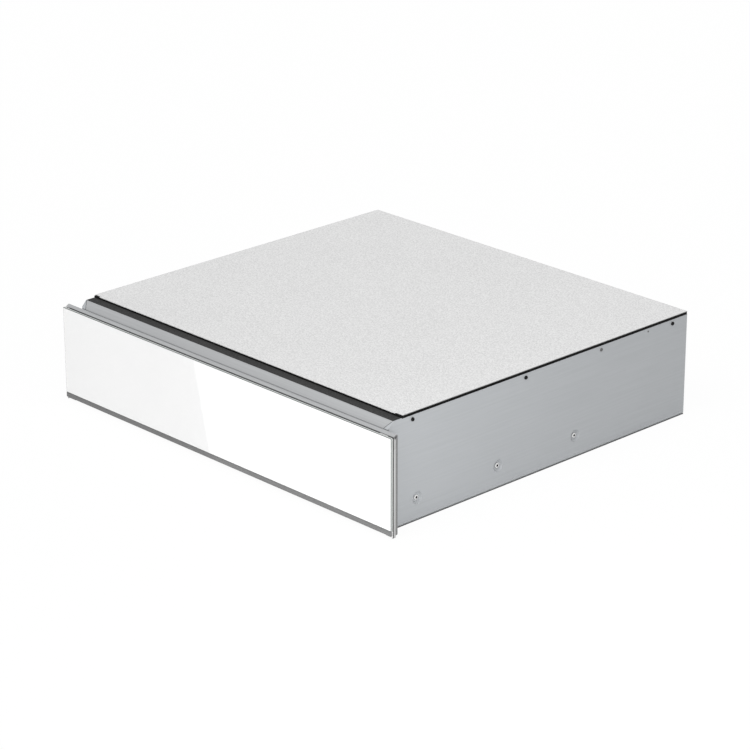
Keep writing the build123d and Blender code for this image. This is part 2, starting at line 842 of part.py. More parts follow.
def make_latch_housing():
    """Housing of the push latch behind the baffle, on a foot on the floor."""
    half_w, half_h = plunger_width / 2 + plunger_play, plunger_height / 2 + plunger_play
    y0 = baffle_y + sheet
    bore_end = plunger_front_y + plunger_length + push_in + latch_spare
    y1 = bore_end + latch_wall
    outer_w, outer_h = half_w + latch_wall, half_h + latch_wall
    body = block(latch_x - outer_w, latch_x + outer_w, y0, y1, latch_z - outer_h, latch_z + outer_h)
    body = chamfer(body.edges().filter_by(Axis.Y), latch_wall / 2)
    foot = block(latch_x - half_w, latch_x + half_w, y0 + rear_flange, y1, sheet, latch_z - half_h)
    bore = block(latch_x - half_w, latch_x + half_w, y0 - sheet, bore_end, latch_z - half_h, latch_z + half_h)
    return body + foot - bore


def make_plunger():
    """Plunger that pushes the drawer out by the pop-out distance."""
    y0, y1 = plunger_front_y, plunger_front_y + plunger_length
    half_w, half_h = plunger_width / 2, plunger_height / 2
    plunger = block(latch_x - half_w, latch_x + half_w, y0, y1, latch_z - half_h, latch_z + half_h)
    return chamfer(plunger.edges().group_by(Axis.Y)[0], sheet)


# ---------------------------------------------------------------- telescopic rails


def rail_point(reach, rise, side=1):
    """A point of a rail section: distance in from its outer face, height from its middle."""
    return (side * (rail_web_x - reach), rail_mid_z + rise)


def rail_member(points, y0, y1):
    """One rail member of the right side from the middle line of its section."""
    line = [rail_point(reach, rise) for reach, rise in points]
    return along_y(folded(line, rail_sheet, rail_bend), y0, y1)


def make_outer_rail():
    """Outer member: screwed to the wall, lips at its open side, stop tongue at its end."""
    t = rail_sheet / 2
    high = rail_half - t
    tip = outer_reach - t
    upper = [(tip, high - rail_lip), (tip, high), (t, high)]
    points = upper + [(reach, -rise) for reach, rise in reversed(upper)]
    rail = rail_member(points, rail_y, rail_end_y)
    x0, x1 = rail_web_x - stop_reach, rail_web_x - t
    z0, z1 = rail_mid_z - stop_height / 2, rail_mid_z + stop_height / 2
    rail += block(x0, x1, rail_end_y - rail_sheet, rail_end_y, z0, z1)
    for y in rail_screw_ys():
        rail -= hole_x(rail_screw_shank, rail_web_x - 2 * rail_sheet, rail_web_x + rail_sheet, y, rail_mid_z)
    return rail


def make_middle_rail():
    """Middle member, with a lip that keeps the inner cage in its race."""
    t = rail_sheet / 2
    high = middle_outer - t
    tip = middle_reach - t
    upper = [(tip, high - rail_lip), (tip, high), (middle_web + t, high)]
    points = upper + [(reach, -rise) for reach, rise in reversed(upper)]
    return rail_member(points, rail_y + rail_sheet, rail_end_y - 2 * rail_sheet)


def make_inner_rail():
    """Inner member, which carries the drawer on its bracket."""
    t = rail_sheet / 2
    high = inner_outer - t
    upper = [(rail_thickness - inner_reach, high), (rail_thickness - t, high)]
    points = upper + [(reach, -rise) for reach, rise in reversed(upper)]
    return rail_member(points, tub_front_y + rail_sheet, rail_end_y - rail_sheet - push_in - 2 * rail_sheet)


def cage_ys():
    """Places of the balls along a cage."""
    middle = (rail_y + rail_end_y) / 2
    return [middle + (i - (balls_per_row - 1) / 2) * ball_pitch for i in range(balls_per_row)]


def make_cage(web, reach, ball_reach, rise):
    """A ball cage: a channel with a hole for each ball in its two strips."""
    points = [(reach, rise), (web, rise), (web, -rise), (reach, -rise)]
    line = [rail_point(along, up) for along, up in points]
    middle = (rail_y + rail_end_y) / 2
    section = trace(Polyline(*line), line_width=cage_sheet)
    cage = along_y(section, middle - cage_length / 2, middle + cage_length / 2)
    x = rail_point(ball_reach, 0)[0]
    turn = 180 / cage_sides
    window = RegularPolygon(ball_radius + cage_play, cage_sides, major_radius=False, rotation=turn)
    for y in cage_ys():
        for z in (rail_mid_z + rise, rail_mid_z - rise):
            cage -= along_z(Pos(x, y) * window, z - cage_sheet, z + cage_sheet)
    return cage


def make_outer_cage():
    """Cage between the outer and the middle member."""
    return make_cage(outer_cage_web, outer_cage_reach, outer_ball_reach, outer_row)


def make_inner_cage():
    """Cage between the middle and the inner member."""
    return make_cage(inner_cage_web, inner_cage_reach, inner_ball_reach, inner_row)


def make_balls(ball_reach, rise):
    """The balls of one cage, each with 26 flat sides as there are many of them."""
    ball = Box(ball_diameter, ball_diameter, ball_diameter)
    ball = chamfer(ball.edges(), ball_diameter - ball_radius * sqrt(2))
    x = rail_point(ball_reach, 0)[0]
    places = [(x, y, rail_mid_z + side * rise) for y in cage_ys() for side in (1, -1)]
    return Compound(children=[Pos(*place) * ball for place in places])


# ---------------------------------------------------------------- drawer


def make_glass():
    """Glass front with softened edges, above the bottom trim."""
    z0 = front_bottom_z + trim_height
    glass = block(-front_half, front_half, front_y, front_y + glass_thickness, z0, front_top_z)
    glass = chamfer(glass.edges().filter_by(Axis.Y), glass_edge)
    return chamfer(glass.faces().sort_by(Axis.Y)[0].edges(), glass_edge)


def make_side_profile():
    """Right aluminium profile behind the glass, with a foot beside the bottom trim."""
    x1 = front_half - trim_recess
    x0 = x1 - profile_width
    z0 = front_bottom_z - side_drop
    top = profile_top_z - clip_height - bond
    strip = block(x0, x1, profile_y, carrier_y, z0, top)
    foot_x = front_half - trim_inset + trim_recess
    foot_y = front_y + trim_skin + 2 * trim_recess
    foot_top = front_bottom_z + trim_height - trim_recess
    return strip + block(foot_x, x1, foot_y, profile_y, z0, foot_top)


def make_top_profile():
    """Aluminium strip behind the upper edge of the glass."""
    x1 = front_half - trim_recess - profile_width - bond
    return block(-x1, x1, profile_y, carrier_y, profile_top_z - clip_height, profile_top_z)


def make_corner_clips():
    """Moulded pieces that join the side profiles to the top profile."""
    x1 = front_half - trim_recess
    clip = block(x1 - profile_width, x1, profile_y, carrier_y, profile_top_z - clip_height, profile_top_z)
    corner = clip.edges().filter_by(Axis.Y).group_by(Axis.X)[-1].sort_by(Axis.Z)[-1]
    clip = fillet(corner, clip_radius)
    return Compound(children=[clip, mirrored(clip)])


def make_bottom_trim():
    """Grey trim under the glass: a skin as wide as the glass, and a flange behind it."""
    z1 = front_bottom_z + trim_height - trim_recess
    half, skin_y = front_half - trim_recess, front_y + trim_recess
    face = block(-half, half, skin_y, skin_y + trim_skin, front_bottom_z, z1)
    half = front_half - trim_inset
    face += block(-half, half, skin_y + trim_skin, profile_y, front_bottom_z, z1)
    half_back = front_half - trim_recess - profile_width - bond
    return face + block(-half_back, half_back, profile_y, carrier_y, front_bottom_z, front_bottom_z + trim_flange)


def make_carrier():
    """Steel tray behind the glass; its top edge is folded forward in line with the sloped band."""
    x1 = front_half - carrier_inset
    t = carrier_sheet
    z0, z1 = front_bottom_z - carrier_drop, front_top_z + carrier_rise
    web_y, lip_y = carrier_back_y - t / 2, profile_y + carrier_lip_gap
    points = [
        (carrier_y, z0 + t / 2), (web_y, z0 + t / 2),
        (web_y, z1 - t / 2), (lip_y, z1 - t / 2 - carrier_lip_drop),
    ]
    tray = along_x(folded(points, t, bend), -x1, x1)
    flange = block(x1 - t, x1, carrier_y, web_y, z0, profile_top_z)
    tray += flange
    tray += mirrored(flange)
    outline = Pos(0, (z0 + z1) / 2) * Rectangle(2 * x1, z1 - z0)
    outline = chamfer(outline.vertices(), carrier_corner)
    tray &= along_y(outline, front_y, casing_y)
    return tray - bracket_screw_holes(left_screw_x) - bracket_screw_holes(right_screw_x)


def make_bumpers():
    """Rubber bumpers on the carrier, opposite the front flanges of the walls."""
    found = []
    for side in (1, -1):
        for z in bumper_rises:
            place = Pos(side * (wall_in_x - bumper_inset), z)
            disc = place * RegularPolygon(bumper_radius, head_sides)
            found.append(along_y(disc, carrier_back_y, carrier_back_y + bumper_height))
    return Compound(children=found)


def make_tub():
    """Drawn tub with rounded corners and floor, and a rolled out rim."""
    size_x, size_y = tub_right - tub_left, tub_rear_y - tub_front_y
    middle = ((tub_left + tub_right) / 2, (tub_front_y + tub_rear_y) / 2)

    def bowl(inset, radius):
        plan = Pos(*middle) * RectangleRounded(size_x - 2 * inset, size_y - 2 * inset, tub_corner - inset)
        solid = along_z(plan, tub_bottom_z + inset, tub_top_z + inset)
        solid = chamfer(solid.faces().sort_by(Axis.Z)[0].edges(), radius * tub_floor_bend)
        return chamfer(solid.faces().sort_by(Axis.Z)[0].edges(), radius * tub_floor_bend / 3)

    rim_z = tub_top_z - tub_sheet
    rim = block(
        tub_left - tub_rim, tub_right + tub_rim, tub_front_y, tub_rear_y + tub_rim, rim_z, tub_top_z
    )
    outer = bowl(0, tub_floor_radius) & block(tub_left, tub_right, tub_front_y, tub_rear_y, 0, tub_top_z)
    tub = rim + outer - bowl(tub_sheet, tub_floor_radius - tub_sheet)
    return tub - bracket_screw_holes(left_screw_x)


def make_tub_mat():
    """Anti-slip mat on the floor of the tub."""
    inset = tub_sheet + tub_floor_radius + mat_margin
    size_x, size_y = tub_right - tub_left - 2 * inset, tub_rear_y - tub_front_y - 2 * inset
    plan = RectangleRounded(size_x, size_y, tub_corner - tub_floor_radius)
    middle = Pos((tub_left + tub_right) / 2, (tub_front_y + tub_rear_y) / 2)
    return along_z(middle * plan, tub_floor_z, tub_floor_z + mat_thickness)


def bracket_screw_holes(x):
    """Cutters for the two bracket screws at one side of the drawer front."""
    y0, y1 = carrier_y, tub_front_y + 2 * tub_sheet
    return [hole_y(bracket_shank, y0, y1, x, tub_bottom_z + rise) for rise in bracket_screw_rises]


def make_bracket(reach, screw_x):
    """Angle under the tub on the right inner rail member, with a tab on the drawer front."""
    x_wall = rail_in_x - bracket_sheet / 2
    z_floor = tub_bottom_z - bracket_sheet / 2
    points = [(x_wall, bracket_top_z), (x_wall, z_floor), (x_wall - reach, z_floor)]
    angle = along_y(folded(points, bracket_sheet, bend), carrier_back_y, tub_rear_y)
    tab = block(
        screw_x - bracket_tab_margin, rail_in_x - bracket_sheet / 2,
        carrier_back_y, tub_front_y, z_floor, bracket_top_z,
    )
    return angle + tab - bracket_screw_holes(screw_x)


def make_bracket_screws():
    """Screws through the tabs into the carrier, on the left also through the tub."""
    depth = bracket_sheet + carrier_sheet
    right = screw(bracket_shank, bracket_head, depth)
    left = screw(bracket_shank, bracket_head, depth + tub_sheet)
    found = []
    for rise in bracket_screw_rises:
        z = tub_bottom_z + rise
        found.append(driven(right, (right_screw_x, tub_front_y, z), (0, 1, 0)))
        found.append(driven(left, (left_screw_x, tub_front_y + tub_sheet, z), (0, 1, 0)))
    return Compound(children=found)


def make_striker():
    """Plate on the back of the tub that the latch pushes on."""
    half = striker_size / 2
    y0, y1 = tub_rear_y, tub_rear_y + striker_thickness
    plate = block(latch_x - half, latch_x + half, y0, y1, latch_z - half, latch_z + half)
    return chamfer(plate.edges().filter_by(Axis.Y), striker_thickness)


# ---------------------------------------------------------------- writing

os.makedirs("parts", exist_ok=True)

parts = {
    "base_pan": make_base_pan(),
    "side_panel_right": make_side_panel(),
    "rear_panel": make_rear_panel(),
    "front_crossbar": make_crossbar(),
    "lid_panel": make_lid(),
    "lid_seal": make_lid_seal(),
    "front_strip": make_front_strip(),
    "lid_screws": make_lid_screws(),
    "lid_rivets": make_lid_rivets(),
    "rail_screws": make_rail_screws(),
    "heat_shield": make_heat_shield(),
    "insulation_mat": make_insulation(),
    "air_baffle": make_air_baffle(),
    "fan_motor": make_fan_motor(),
    "fan_wheel": make_fan_wheel(),
    "heating_element": make_heating_element(),
    "thermal_cutout": make_thermal_cutout(),
    "terminal_block": make_terminal_block(),
    "cable_gland": make_cable_gland(),
    "control_plate": make_control_plate(),
    "thermostat_body": make_thermostat(),
    "thermostat_knob": make_knob(),
    "switch_body": make_switch(),
    "switch_rocker": make_rocker(),
    "pilot_lamp": make_lamp(),
    "latch_housing": make_latch_housing(),
    "latch_plunger": make_plunger(),
    "front_glass": make_glass(),
    "side_profile_right": make_side_profile(),
    "top_profile": make_top_profile(),
    "corner_clips": make_corner_clips(),
    "bottom_trim": make_bottom_trim(),
    "front_carrier": make_carrier(),
    "front_bumpers": make_bumpers(),
    "tub": make_tub(),
    "tub_mat": make_tub_mat(),
    "striker_plate": make_striker(),
    "bracket_screws": make_bracket_screws(),
    "rail_bracket_right": make_bracket(bracket_right_reach, right_screw_x),
    "rail_bracket_left": mirrored(make_bracket(bracket_left_reach, -left_screw_x)),
    "rail_outer_right": make_outer_rail(),
    "rail_middle_right": make_middle_rail(),
    "rail_inner_right": make_inner_rail(),
    "cage_outer_right": make_outer_cage(),
    "cage_inner_right": make_inner_cage(),
    "balls_outer_right": make_balls(outer_ball_reach, outer_row),
    "balls_inner_right": make_balls(inner_ball_reach, inner_row),
}
for name in [name for name in parts if name.endswith("_right")]:
    left_name = name.replace("_right", "_left")
    if left_name not in parts:
        parts[left_name] = mirrored(parts[name])

for name, solid in parts.items():
    export_step(solid, f"parts/{name}.step")
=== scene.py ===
# %% [markdown]
# # A built-in warming drawer, dressed for its portrait
#
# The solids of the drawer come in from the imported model. Their shapes and places stay as they are.
# This script gives them finishes, and it models the small things by hand: screws, balls, the glass.
# Everything is in metres, in the same frame as the solids, with the front of the drawer facing -Y.

# %% Load the frame
from math import pi, radians

import bmesh
import bpy
from mathutils import Matrix, Vector


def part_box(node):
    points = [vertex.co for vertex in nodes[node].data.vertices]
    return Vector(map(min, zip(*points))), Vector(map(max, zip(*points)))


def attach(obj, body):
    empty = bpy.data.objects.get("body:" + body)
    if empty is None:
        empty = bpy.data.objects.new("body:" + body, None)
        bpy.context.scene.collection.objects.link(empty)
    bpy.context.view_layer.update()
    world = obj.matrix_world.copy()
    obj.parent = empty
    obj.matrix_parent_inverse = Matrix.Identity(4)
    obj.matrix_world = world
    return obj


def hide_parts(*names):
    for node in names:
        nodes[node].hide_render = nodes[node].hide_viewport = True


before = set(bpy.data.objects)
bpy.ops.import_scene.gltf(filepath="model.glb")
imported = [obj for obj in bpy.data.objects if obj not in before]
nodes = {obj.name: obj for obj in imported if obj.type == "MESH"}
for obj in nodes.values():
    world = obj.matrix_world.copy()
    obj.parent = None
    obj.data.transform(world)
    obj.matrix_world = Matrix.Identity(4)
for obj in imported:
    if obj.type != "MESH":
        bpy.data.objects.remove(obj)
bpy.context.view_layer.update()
mm = 0.001

# %% [markdown]
# ## The camera
#
# The straight edges of the drawer fix the camera: it stands off the right front corner, a little
# above the lid, with a long lens. A long lens keeps the far edges nearly parallel to the near ones.

# %% Camera
azimuth = radians(46.19)
elevation = radians(21.55)
eye = (2.4803, -2.3734, 1.3975)
bpy.ops.object.camera_add(location=eye, rotation=(pi / 2 - elevation, 0, azimuth))
camera = bpy.context.object
camera.name = "portrait_camera"
camera.data.lens = 140.68
camera.data.sensor_width = 36.0
camera.data.shift_x = -0.0091
camera.data.shift_y = 0.00395
bpy.context.scene.camera = camera
print("camera at", [round(v, 2) for v in eye])

# %% [markdown]
# ## The studio
#
# A product portrait on white needs an even light from all sides, one large soft lamp that shapes
# the form and a small one for the side wall. The white comes from what the camera and the
# reflections see of the world and the floor, and not from more light on the drawer, so its own
# colours stay as they are.

# %% World
scene = bpy.context.scene
scene.view_settings.view_transform = "Standard"
world = bpy.data.worlds.new("white_studio")
scene.world = world
world.use_nodes = True
tree = world.node_tree
tree.nodes.clear()
out = tree.nodes.new("ShaderNodeOutputWorld")
room = tree.nodes.new("ShaderNodeBackground")
room.inputs["Color"].default_value = (1.0, 1.0, 1.0, 1)
room.inputs["Strength"].default_value = 0.66
white = tree.nodes.new("ShaderNodeBackground")
white.inputs["Color"].default_value = (1.0, 1.0, 1.0, 1)
white.inputs["Strength"].default_value = 1.0
path = tree.nodes.new("ShaderNodeLightPath")
seen = tree.nodes.new("ShaderNodeMath")
seen.operation = "MAXIMUM"
seen_too = tree.nodes.new("ShaderNodeMath")
seen_too.operation = "MAXIMUM"
mix = tree.nodes.new("ShaderNodeMixShader")
tree.links.new(path.outputs["Is Camera Ray"], seen.inputs[0])
tree.links.new(path.outputs["Is Glossy Ray"], seen.inputs[1])
tree.links.new(seen.outputs[0], seen_too.inputs[0])
tree.links.new(path.outputs["Is Transmission Ray"], seen_too.inputs[1])
tree.links.new(seen_too.outputs[0], mix.inputs["Fac"])
tree.links.new(room.outputs[0], mix.inputs[1])
tree.links.new(white.outputs[0], mix.inputs[2])
tree.links.new(mix.outputs[0], out.inputs["Surface"])
print("world strength", room.inputs["Strength"].default_value)


# %% Floor
def clear_selection():
    """Deselects everything, because an operator acts on all that is selected."""
    bpy.ops.object.select_all(action="DESELECT")


clear_selection()
bpy.ops.mesh.primitive_plane_add(size=40, location=(0, 0, -0.0004))
floor = bpy.context.object
floor.name = "studio_floor"
paper = bpy.data.materials.new("white_paper")
paper.use_nodes = True
tree = paper.node_tree
tree.nodes.clear()
out = tree.nodes.new("ShaderNodeOutputMaterial")
matt = tree.nodes.new("ShaderNodeBsdfDiffuse")
matt.inputs["Color"].default_value = (0.88, 0.88, 0.88, 1)
glow = tree.nodes.new("ShaderNodeEmission")
glow.inputs["Color"].default_value = (1.0, 1.0, 1.0, 1)
path = tree.nodes.new("ShaderNodeLightPath")
seen = tree.nodes.new("ShaderNodeMath")
seen.operation = "MAXIMUM"
share = tree.nodes.new("ShaderNodeMath")
share.operation = "MULTIPLY"
share.inputs[1].default_value = 0.96
mix = tree.nodes.new("ShaderNodeMixShader")
tree.links.new(path.outputs["Is Camera Ray"], seen.inputs[0])
tree.links.new(path.outputs["Is Glossy Ray"], seen.inputs[1])
tree.links.new(seen.outputs[0], share.inputs[0])
tree.links.new(share.outputs[0], mix.inputs["Fac"])
tree.links.new(matt.outputs[0], mix.inputs[1])
tree.links.new(glow.outputs[0], mix.inputs[2])
tree.links.new(mix.outputs[0], out.inputs["Surface"])
floor.data.materials.append(paper)

# %% Key light
bpy.ops.object.light_add(type="SUN", location=(0.6, -2.0, 2.4))
key = bpy.context.object
key.name = "soft_key"
key.data.energy = 1.5
key.data.angle = radians(35)
key.rotation_euler = Vector((0.0, -0.62, 0.78)).to_track_quat("Z", "Y").to_euler()
print("key light energy", key.data.energy)

# %% Side light
# A soft box close to the front right corner lets the side wall fade towards the back.
side_place = Vector((0.90, -0.60, 0.30))
bpy.ops.object.light_add(type="AREA", location=side_place)
side_light = bpy.context.object
side_light.name = "side_soft_box"
side_light.data.shape = "DISK"
side_light.data.size = 0.35
side_light.data.energy = 2.8
side_light.visible_camera = False
side_light.visible_glossy = False
aim = side_place - Vector((0.28, -0.20, 0.07))
side_light.rotation_euler = aim.to_track_quat("Z", "Y").to_euler()
print("side light energy", side_light.data.energy)

# %% White board
# A brighter board lies on the floor before the right part of the front. Only reflections see it, so
# its edge shows in the glass as a soft slanted line, brighter on the right.
board_corners = [(-0.330, -0.500), (-0.017, -0.266), (0.60, -0.266), (0.60, -0.500)]
board_z = 0.8 * mm
board_mesh = bpy.data.meshes.new("white_board")
board_mesh.from_pydata([(x, y, board_z) for x, y in board_corners], [], [(0, 1, 2, 3)])
board = bpy.data.objects.new("white_board", board_mesh)
bpy.context.collection.objects.link(board)
lit = bpy.data.materials.new("lit_board")
lit.use_nodes = True
tree = lit.node_tree
tree.nodes.clear()
out = tree.nodes.new("ShaderNodeOutputMaterial")
glow = tree.nodes.new("ShaderNodeEmission")
glow.inputs["Strength"].default_value = 2.6
tree.links.new(glow.outputs[0], out.inputs["Surface"])
board.data.materials.append(lit)
for ray in ("camera", "diffuse", "transmission", "volume_scatter", "shadow"):
    setattr(board, "visible_" + ray, False)

# %% [markdown]
# ## Shared effects
#
# Sheet metal, rubber and plastic share a few effects: fine speckle, lines left by rolling or
# brushing, crystals of zinc, and soft patches from handling. Each is a shader group that reads the
# object's own coordinates and puts out one mask, so that a material only sets its own amounts.


# %% Helpers for shader groups
def new_group(name, **amounts):
    """A shader group with an input for each amount and a mask as its output."""
    group = bpy.data.node_groups.new(name, "ShaderNodeTree")
    for label, value in amounts.items():
        made = group.interface.new_socket(label, in_out="INPUT", socket_type="NodeSocketFloat")
        made.default_value = value
    group.interface.new_socket("mask", in_out="OUTPUT", socket_type="NodeSocketFloat")
    entry, end = group.nodes.new("NodeGroupInput"), group.nodes.new("NodeGroupOutput")
    place = group.nodes.new("ShaderNodeTexCoord").outputs["Object"]
    return group, entry.outputs, end.inputs["mask"], place


def noise(tree, vector, scale, detail=3.0, rough=0.55):
    """A noise texture; its scale is a number or the socket that gives it."""
    made = tree.nodes.new("ShaderNodeTexNoise")
    tree.links.new(vector, made.inputs["Vector"])
    made.inputs["Detail"].default_value = detail
    made.inputs["Roughness"].default_value = rough
    if isinstance(scale, (int, float)):
        made.inputs["Scale"].default_value = scale
    else:
        tree.links.new(scale, made.inputs["Scale"])
    return made.outputs["Fac"]


def spread(tree, source, low, high):
    """Stretches the part of a mask between low and high to 0 and 1."""
    made = tree.nodes.new("ShaderNodeMapRange")
    made.interpolation_type = "SMOOTHSTEP"
    made.inputs["From Min"].default_value = low
    made.inputs["From Max"].default_value = high
    tree.links.new(source, made.inputs["Value"])
    return made.outputs["Result"]


# %% Speckle: fine grains without direction
speckle, ins, result, place = new_group("speckle", scale=900.0)
grains = noise(speckle, place, ins["scale"], 2.0, 0.7)
speckle.links.new(spread(speckle, grains, 0.32, 0.68), result)

# %% Rolled lines: noise stretched along one direction
rolled, ins, result, place = new_group("rolled_lines", across_x=900.0, across_y=12.0, across_z=900.0)
pull = rolled.nodes.new("ShaderNodeCombineXYZ")
for axis in "xyz":
    rolled.links.new(ins["across_" + axis], pull.inputs[axis.upper()])
stretched = rolled.nodes.new("ShaderNodeVectorMath")
stretched.operation = "MULTIPLY"
rolled.links.new(place, stretched.inputs[0])
rolled.links.new(pull.outputs[0], stretched.inputs[1])
lines = noise(rolled, stretched.outputs[0], 1.0, 4.0)
rolled.links.new(spread(rolled, lines, 0.3, 0.7), result)

# %% Zinc crystals: cells with a grey of their own
spangle, ins, result, place = new_group("zinc_crystals", scale=95.0)
cells = spangle.nodes.new("ShaderNodeTexVoronoi")
spangle.links.new(place, cells.inputs["Vector"])
spangle.links.new(ins["scale"], cells.inputs["Scale"])
grey = spangle.nodes.new("ShaderNodeSeparateColor")
spangle.links.new(cells.outputs["Color"], grey.inputs["Color"])
fine = noise(spangle, place, 420.0, 3.0)
blend = spangle.nodes.new("ShaderNodeMix")
blend.inputs["Factor"].default_value = 0.45
spangle.links.new(grey.outputs["Red"], blend.inputs["A"])
spangle.links.new(fine, blend.inputs["B"])
spangle.links.new(blend.outputs["Result"], result)

# %% Handling: large soft patches that change the gloss
handling, ins, result, place = new_group("handling", scale=9.0)
patches = noise(handling, place, ins["scale"], 5.0, 0.6)
handling.links.new(spread(handling, patches, 0.35, 0.7), result)

# %% Dots: raised round dots in a square pattern
dots, ins, result, place = new_group("raised_dots", pitch=125.0)
grid = dots.nodes.new("ShaderNodeTexVoronoi")
grid.inputs["Randomness"].default_value = 0.0
dots.links.new(place, grid.inputs["Vector"])
dots.links.new(ins["pitch"], grid.inputs["Scale"])
top = dots.nodes.new("ShaderNodeMapRange")
top.interpolation_type = "SMOOTHSTEP"
top.inputs["From Min"].default_value = 0.36
top.inputs["From Max"].default_value = 0.28
dots.links.new(grid.outputs["Distance"], top.inputs["Value"])
dots.links.new(top.outputs["Result"], result)

# %% Outer parts: masks that are 1 beyond a limit, to either side along X or ahead along Y
ends, ins, result, place = new_group("outer_ends", limit=0.29)
apart = ends.nodes.new("ShaderNodeSeparateXYZ")
ends.links.new(place, apart.inputs[0])
reach = ends.nodes.new("ShaderNodeMath")
reach.operation = "ABSOLUTE"
ends.links.new(apart.outputs["X"], reach.inputs[0])
past = ends.nodes.new("ShaderNodeMath")
past.operation = "GREATER_THAN"
ends.links.new(reach.outputs[0], past.inputs[0])
ends.links.new(ins["limit"], past.inputs[1])
ends.links.new(past.outputs[0], result)

ahead, ins, result, place = new_group("front_part", limit=-0.26)
apart = ahead.nodes.new("ShaderNodeSeparateXYZ")
ahead.links.new(place, apart.inputs[0])
past = ahead.nodes.new("ShaderNodeMath")
past.operation = "LESS_THAN"
ahead.links.new(apart.outputs["Y"], past.inputs[0])
ahead.links.new(ins["limit"], past.inputs[1])
ahead.links.new(past.outputs[0], result)
print("shader groups:", [g.name for g in bpy.data.node_groups])

# %% [markdown]
# ## A finish from its parts
#
# Every finish here is the same recipe with other amounts: a pattern moves the colour between a
# dark and a light tone, the handling patches move the roughness, and the pattern also gives a
# slight relief. What is constant, such as how metallic a finish is, is set on the shader itself.


# %% The recipe
def finish(name, dark, light, pattern, amounts=None, rough=(0.4, 0.5), relief=0.0, metallic=0.0, shine=0.5):
    """A procedural material: a pattern group sets its tone and relief, handling its gloss."""
    made = bpy.data.materials.new(name)
    made.use_nodes = True
    tree = made.node_tree
    shader = tree.nodes["Principled BSDF"]
    shader.inputs["Metallic"].default_value = metallic
    shader.inputs["Specular IOR Level"].default_value = shine
    source = tree.nodes.new("ShaderNodeGroup")
    source.node_tree = pattern
    for label, value in (amounts or {}).items():
        source.inputs[label].default_value = value
    tone = tree.nodes.new("ShaderNodeMix")
    tone.data_type = "RGBA"
    tone.inputs["A"].default_value = (*dark, 1)
    tone.inputs["B"].default_value = (*light, 1)
    tree.links.new(source.outputs["mask"], tone.inputs["Factor"])
    tree.links.new(tone.outputs["Result"], shader.inputs["Base Color"])
    touch = tree.nodes.new("ShaderNodeGroup")
    touch.node_tree = handling
    gloss = tree.nodes.new("ShaderNodeMapRange")
    gloss.inputs["To Min"].default_value, gloss.inputs["To Max"].default_value = rough
    tree.links.new(touch.outputs["mask"], gloss.inputs["Value"])
    tree.links.new(gloss.outputs["Result"], shader.inputs["Roughness"])
    if relief:
        bump = tree.nodes.new("ShaderNodeBump")
        bump.inputs["Strength"].default_value = 1.0
        bump.inputs["Distance"].default_value = relief
        tree.links.new(source.outputs["mask"], bump.inputs["Height"])
        tree.links.new(bump.outputs["Normal"], shader.inputs["Normal"])
    return made


def other_tone(material, part, limit, tone):
    """Gives the part of a surface beyond a limit a tone of its own; on the lid, carrier and floor sheet it is
    painted shade.
    """
    tree = material.node_tree
    shader = tree.nodes["Principled BSDF"]
    source = shader.inputs["Base Color"].links[0].from_socket
    where = tree.nodes.new("ShaderNodeGroup")
    where.node_tree = part
    where.inputs["limit"].default_value = limit
    grains = tree.nodes.new("ShaderNodeGroup")
    grains.node_tree = speckle
    darker = tree.nodes.new("ShaderNodeMix")
    darker.data_type = "RGBA"
    darker.inputs["A"].default_value = (*grey_tone(tone * 0.85), 1)
    darker.inputs["B"].default_value = (*grey_tone(tone * 1.15), 1)
    tree.links.new(grains.outputs["mask"], darker.inputs["Factor"])
    choose = tree.nodes.new("ShaderNodeMix")
    choose.data_type = "RGBA"
    tree.links.new(where.outputs["mask"], choose.inputs["Factor"])
    tree.links.new(source, choose.inputs["A"])
    tree.links.new(darker.outputs["Result"], choose.inputs["B"])
    tree.links.new(choose.outputs["Result"], shader.inputs["Base Color"])


def grey_tone(value, warm=0.0):
    """A grey a little towards yellow where warm is above 0, and towards blue below it."""
    return (value * (1 + warm), value, value * (1 - warm))


def give(material, *names):
    """Puts a finish on solids of the frame, in all of their material slots."""
    for name in names:
        slots = nodes[name].data.materials
        slots.clear()
        slots.append(material)
    print(material.name, "on", len(names))


# %% [markdown]
# ## Metal finishes
#
# The lid is zinc-aluminium sheet with a fine speckle. The walls, the band over the front and the
# carrier behind the glass are smooth satin sheet. The floor, the rear panel and the sheets inside
# are plain galvanised, where the zinc crystals show.

# %% Lid
lid_sheet = finish(
    "speckled_lid", grey_tone(0.57), grey_tone(0.765), speckle, {"scale": 520.0},
    (0.45, 0.6), 0.02 * mm, 0.0, 0.3,
)
# The lid's side edges take a dark tone: painted shade that widens the black line of the gap under the lid.
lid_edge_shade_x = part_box("lid_panel")[1][0] - 0.05 * mm
other_tone(lid_sheet, ends, lid_edge_shade_x, 0.28)
give(lid_sheet, "lid_panel")

# %% Walls and band
wall_sheet = finish(
    "satin_wall", grey_tone(0.383, -0.035), grey_tone(0.403, -0.035), rolled,
    {"across_x": 500.0, "across_y": 9.0, "across_z": 420.0}, (0.42, 0.5), 0.002 * mm, 0.1,
)
band_sheet = finish(
    "satin_band", grey_tone(0.335, -0.02), grey_tone(0.365, -0.02), rolled,
    {"across_x": 9.0, "across_y": 500.0, "across_z": 500.0}, (0.42, 0.5), 0.002 * mm, 0.1,
)
# The carrier takes the band's sheet, and its outer side faces a dark tone: painted shade of the gap between
# the front and the side walls.
carrier_sheet = band_sheet.copy()
carrier_sheet.name = "satin_carrier_side_shade"
carrier_side_shade_x = 296.6 * mm
other_tone(carrier_sheet, ends, carrier_side_shade_x, 0.17)
give(wall_sheet, "side_panel_left", "side_panel_right")
give(band_sheet, "front_crossbar")
give(carrier_sheet, "front_carrier")

# %% Inner sheets
zinc_sheet = finish(
    "galvanised_sheet", grey_tone(0.53, -0.02), grey_tone(0.65, -0.01), spangle, {},
    (0.35, 0.5), 0.004 * mm, 0.35,
)
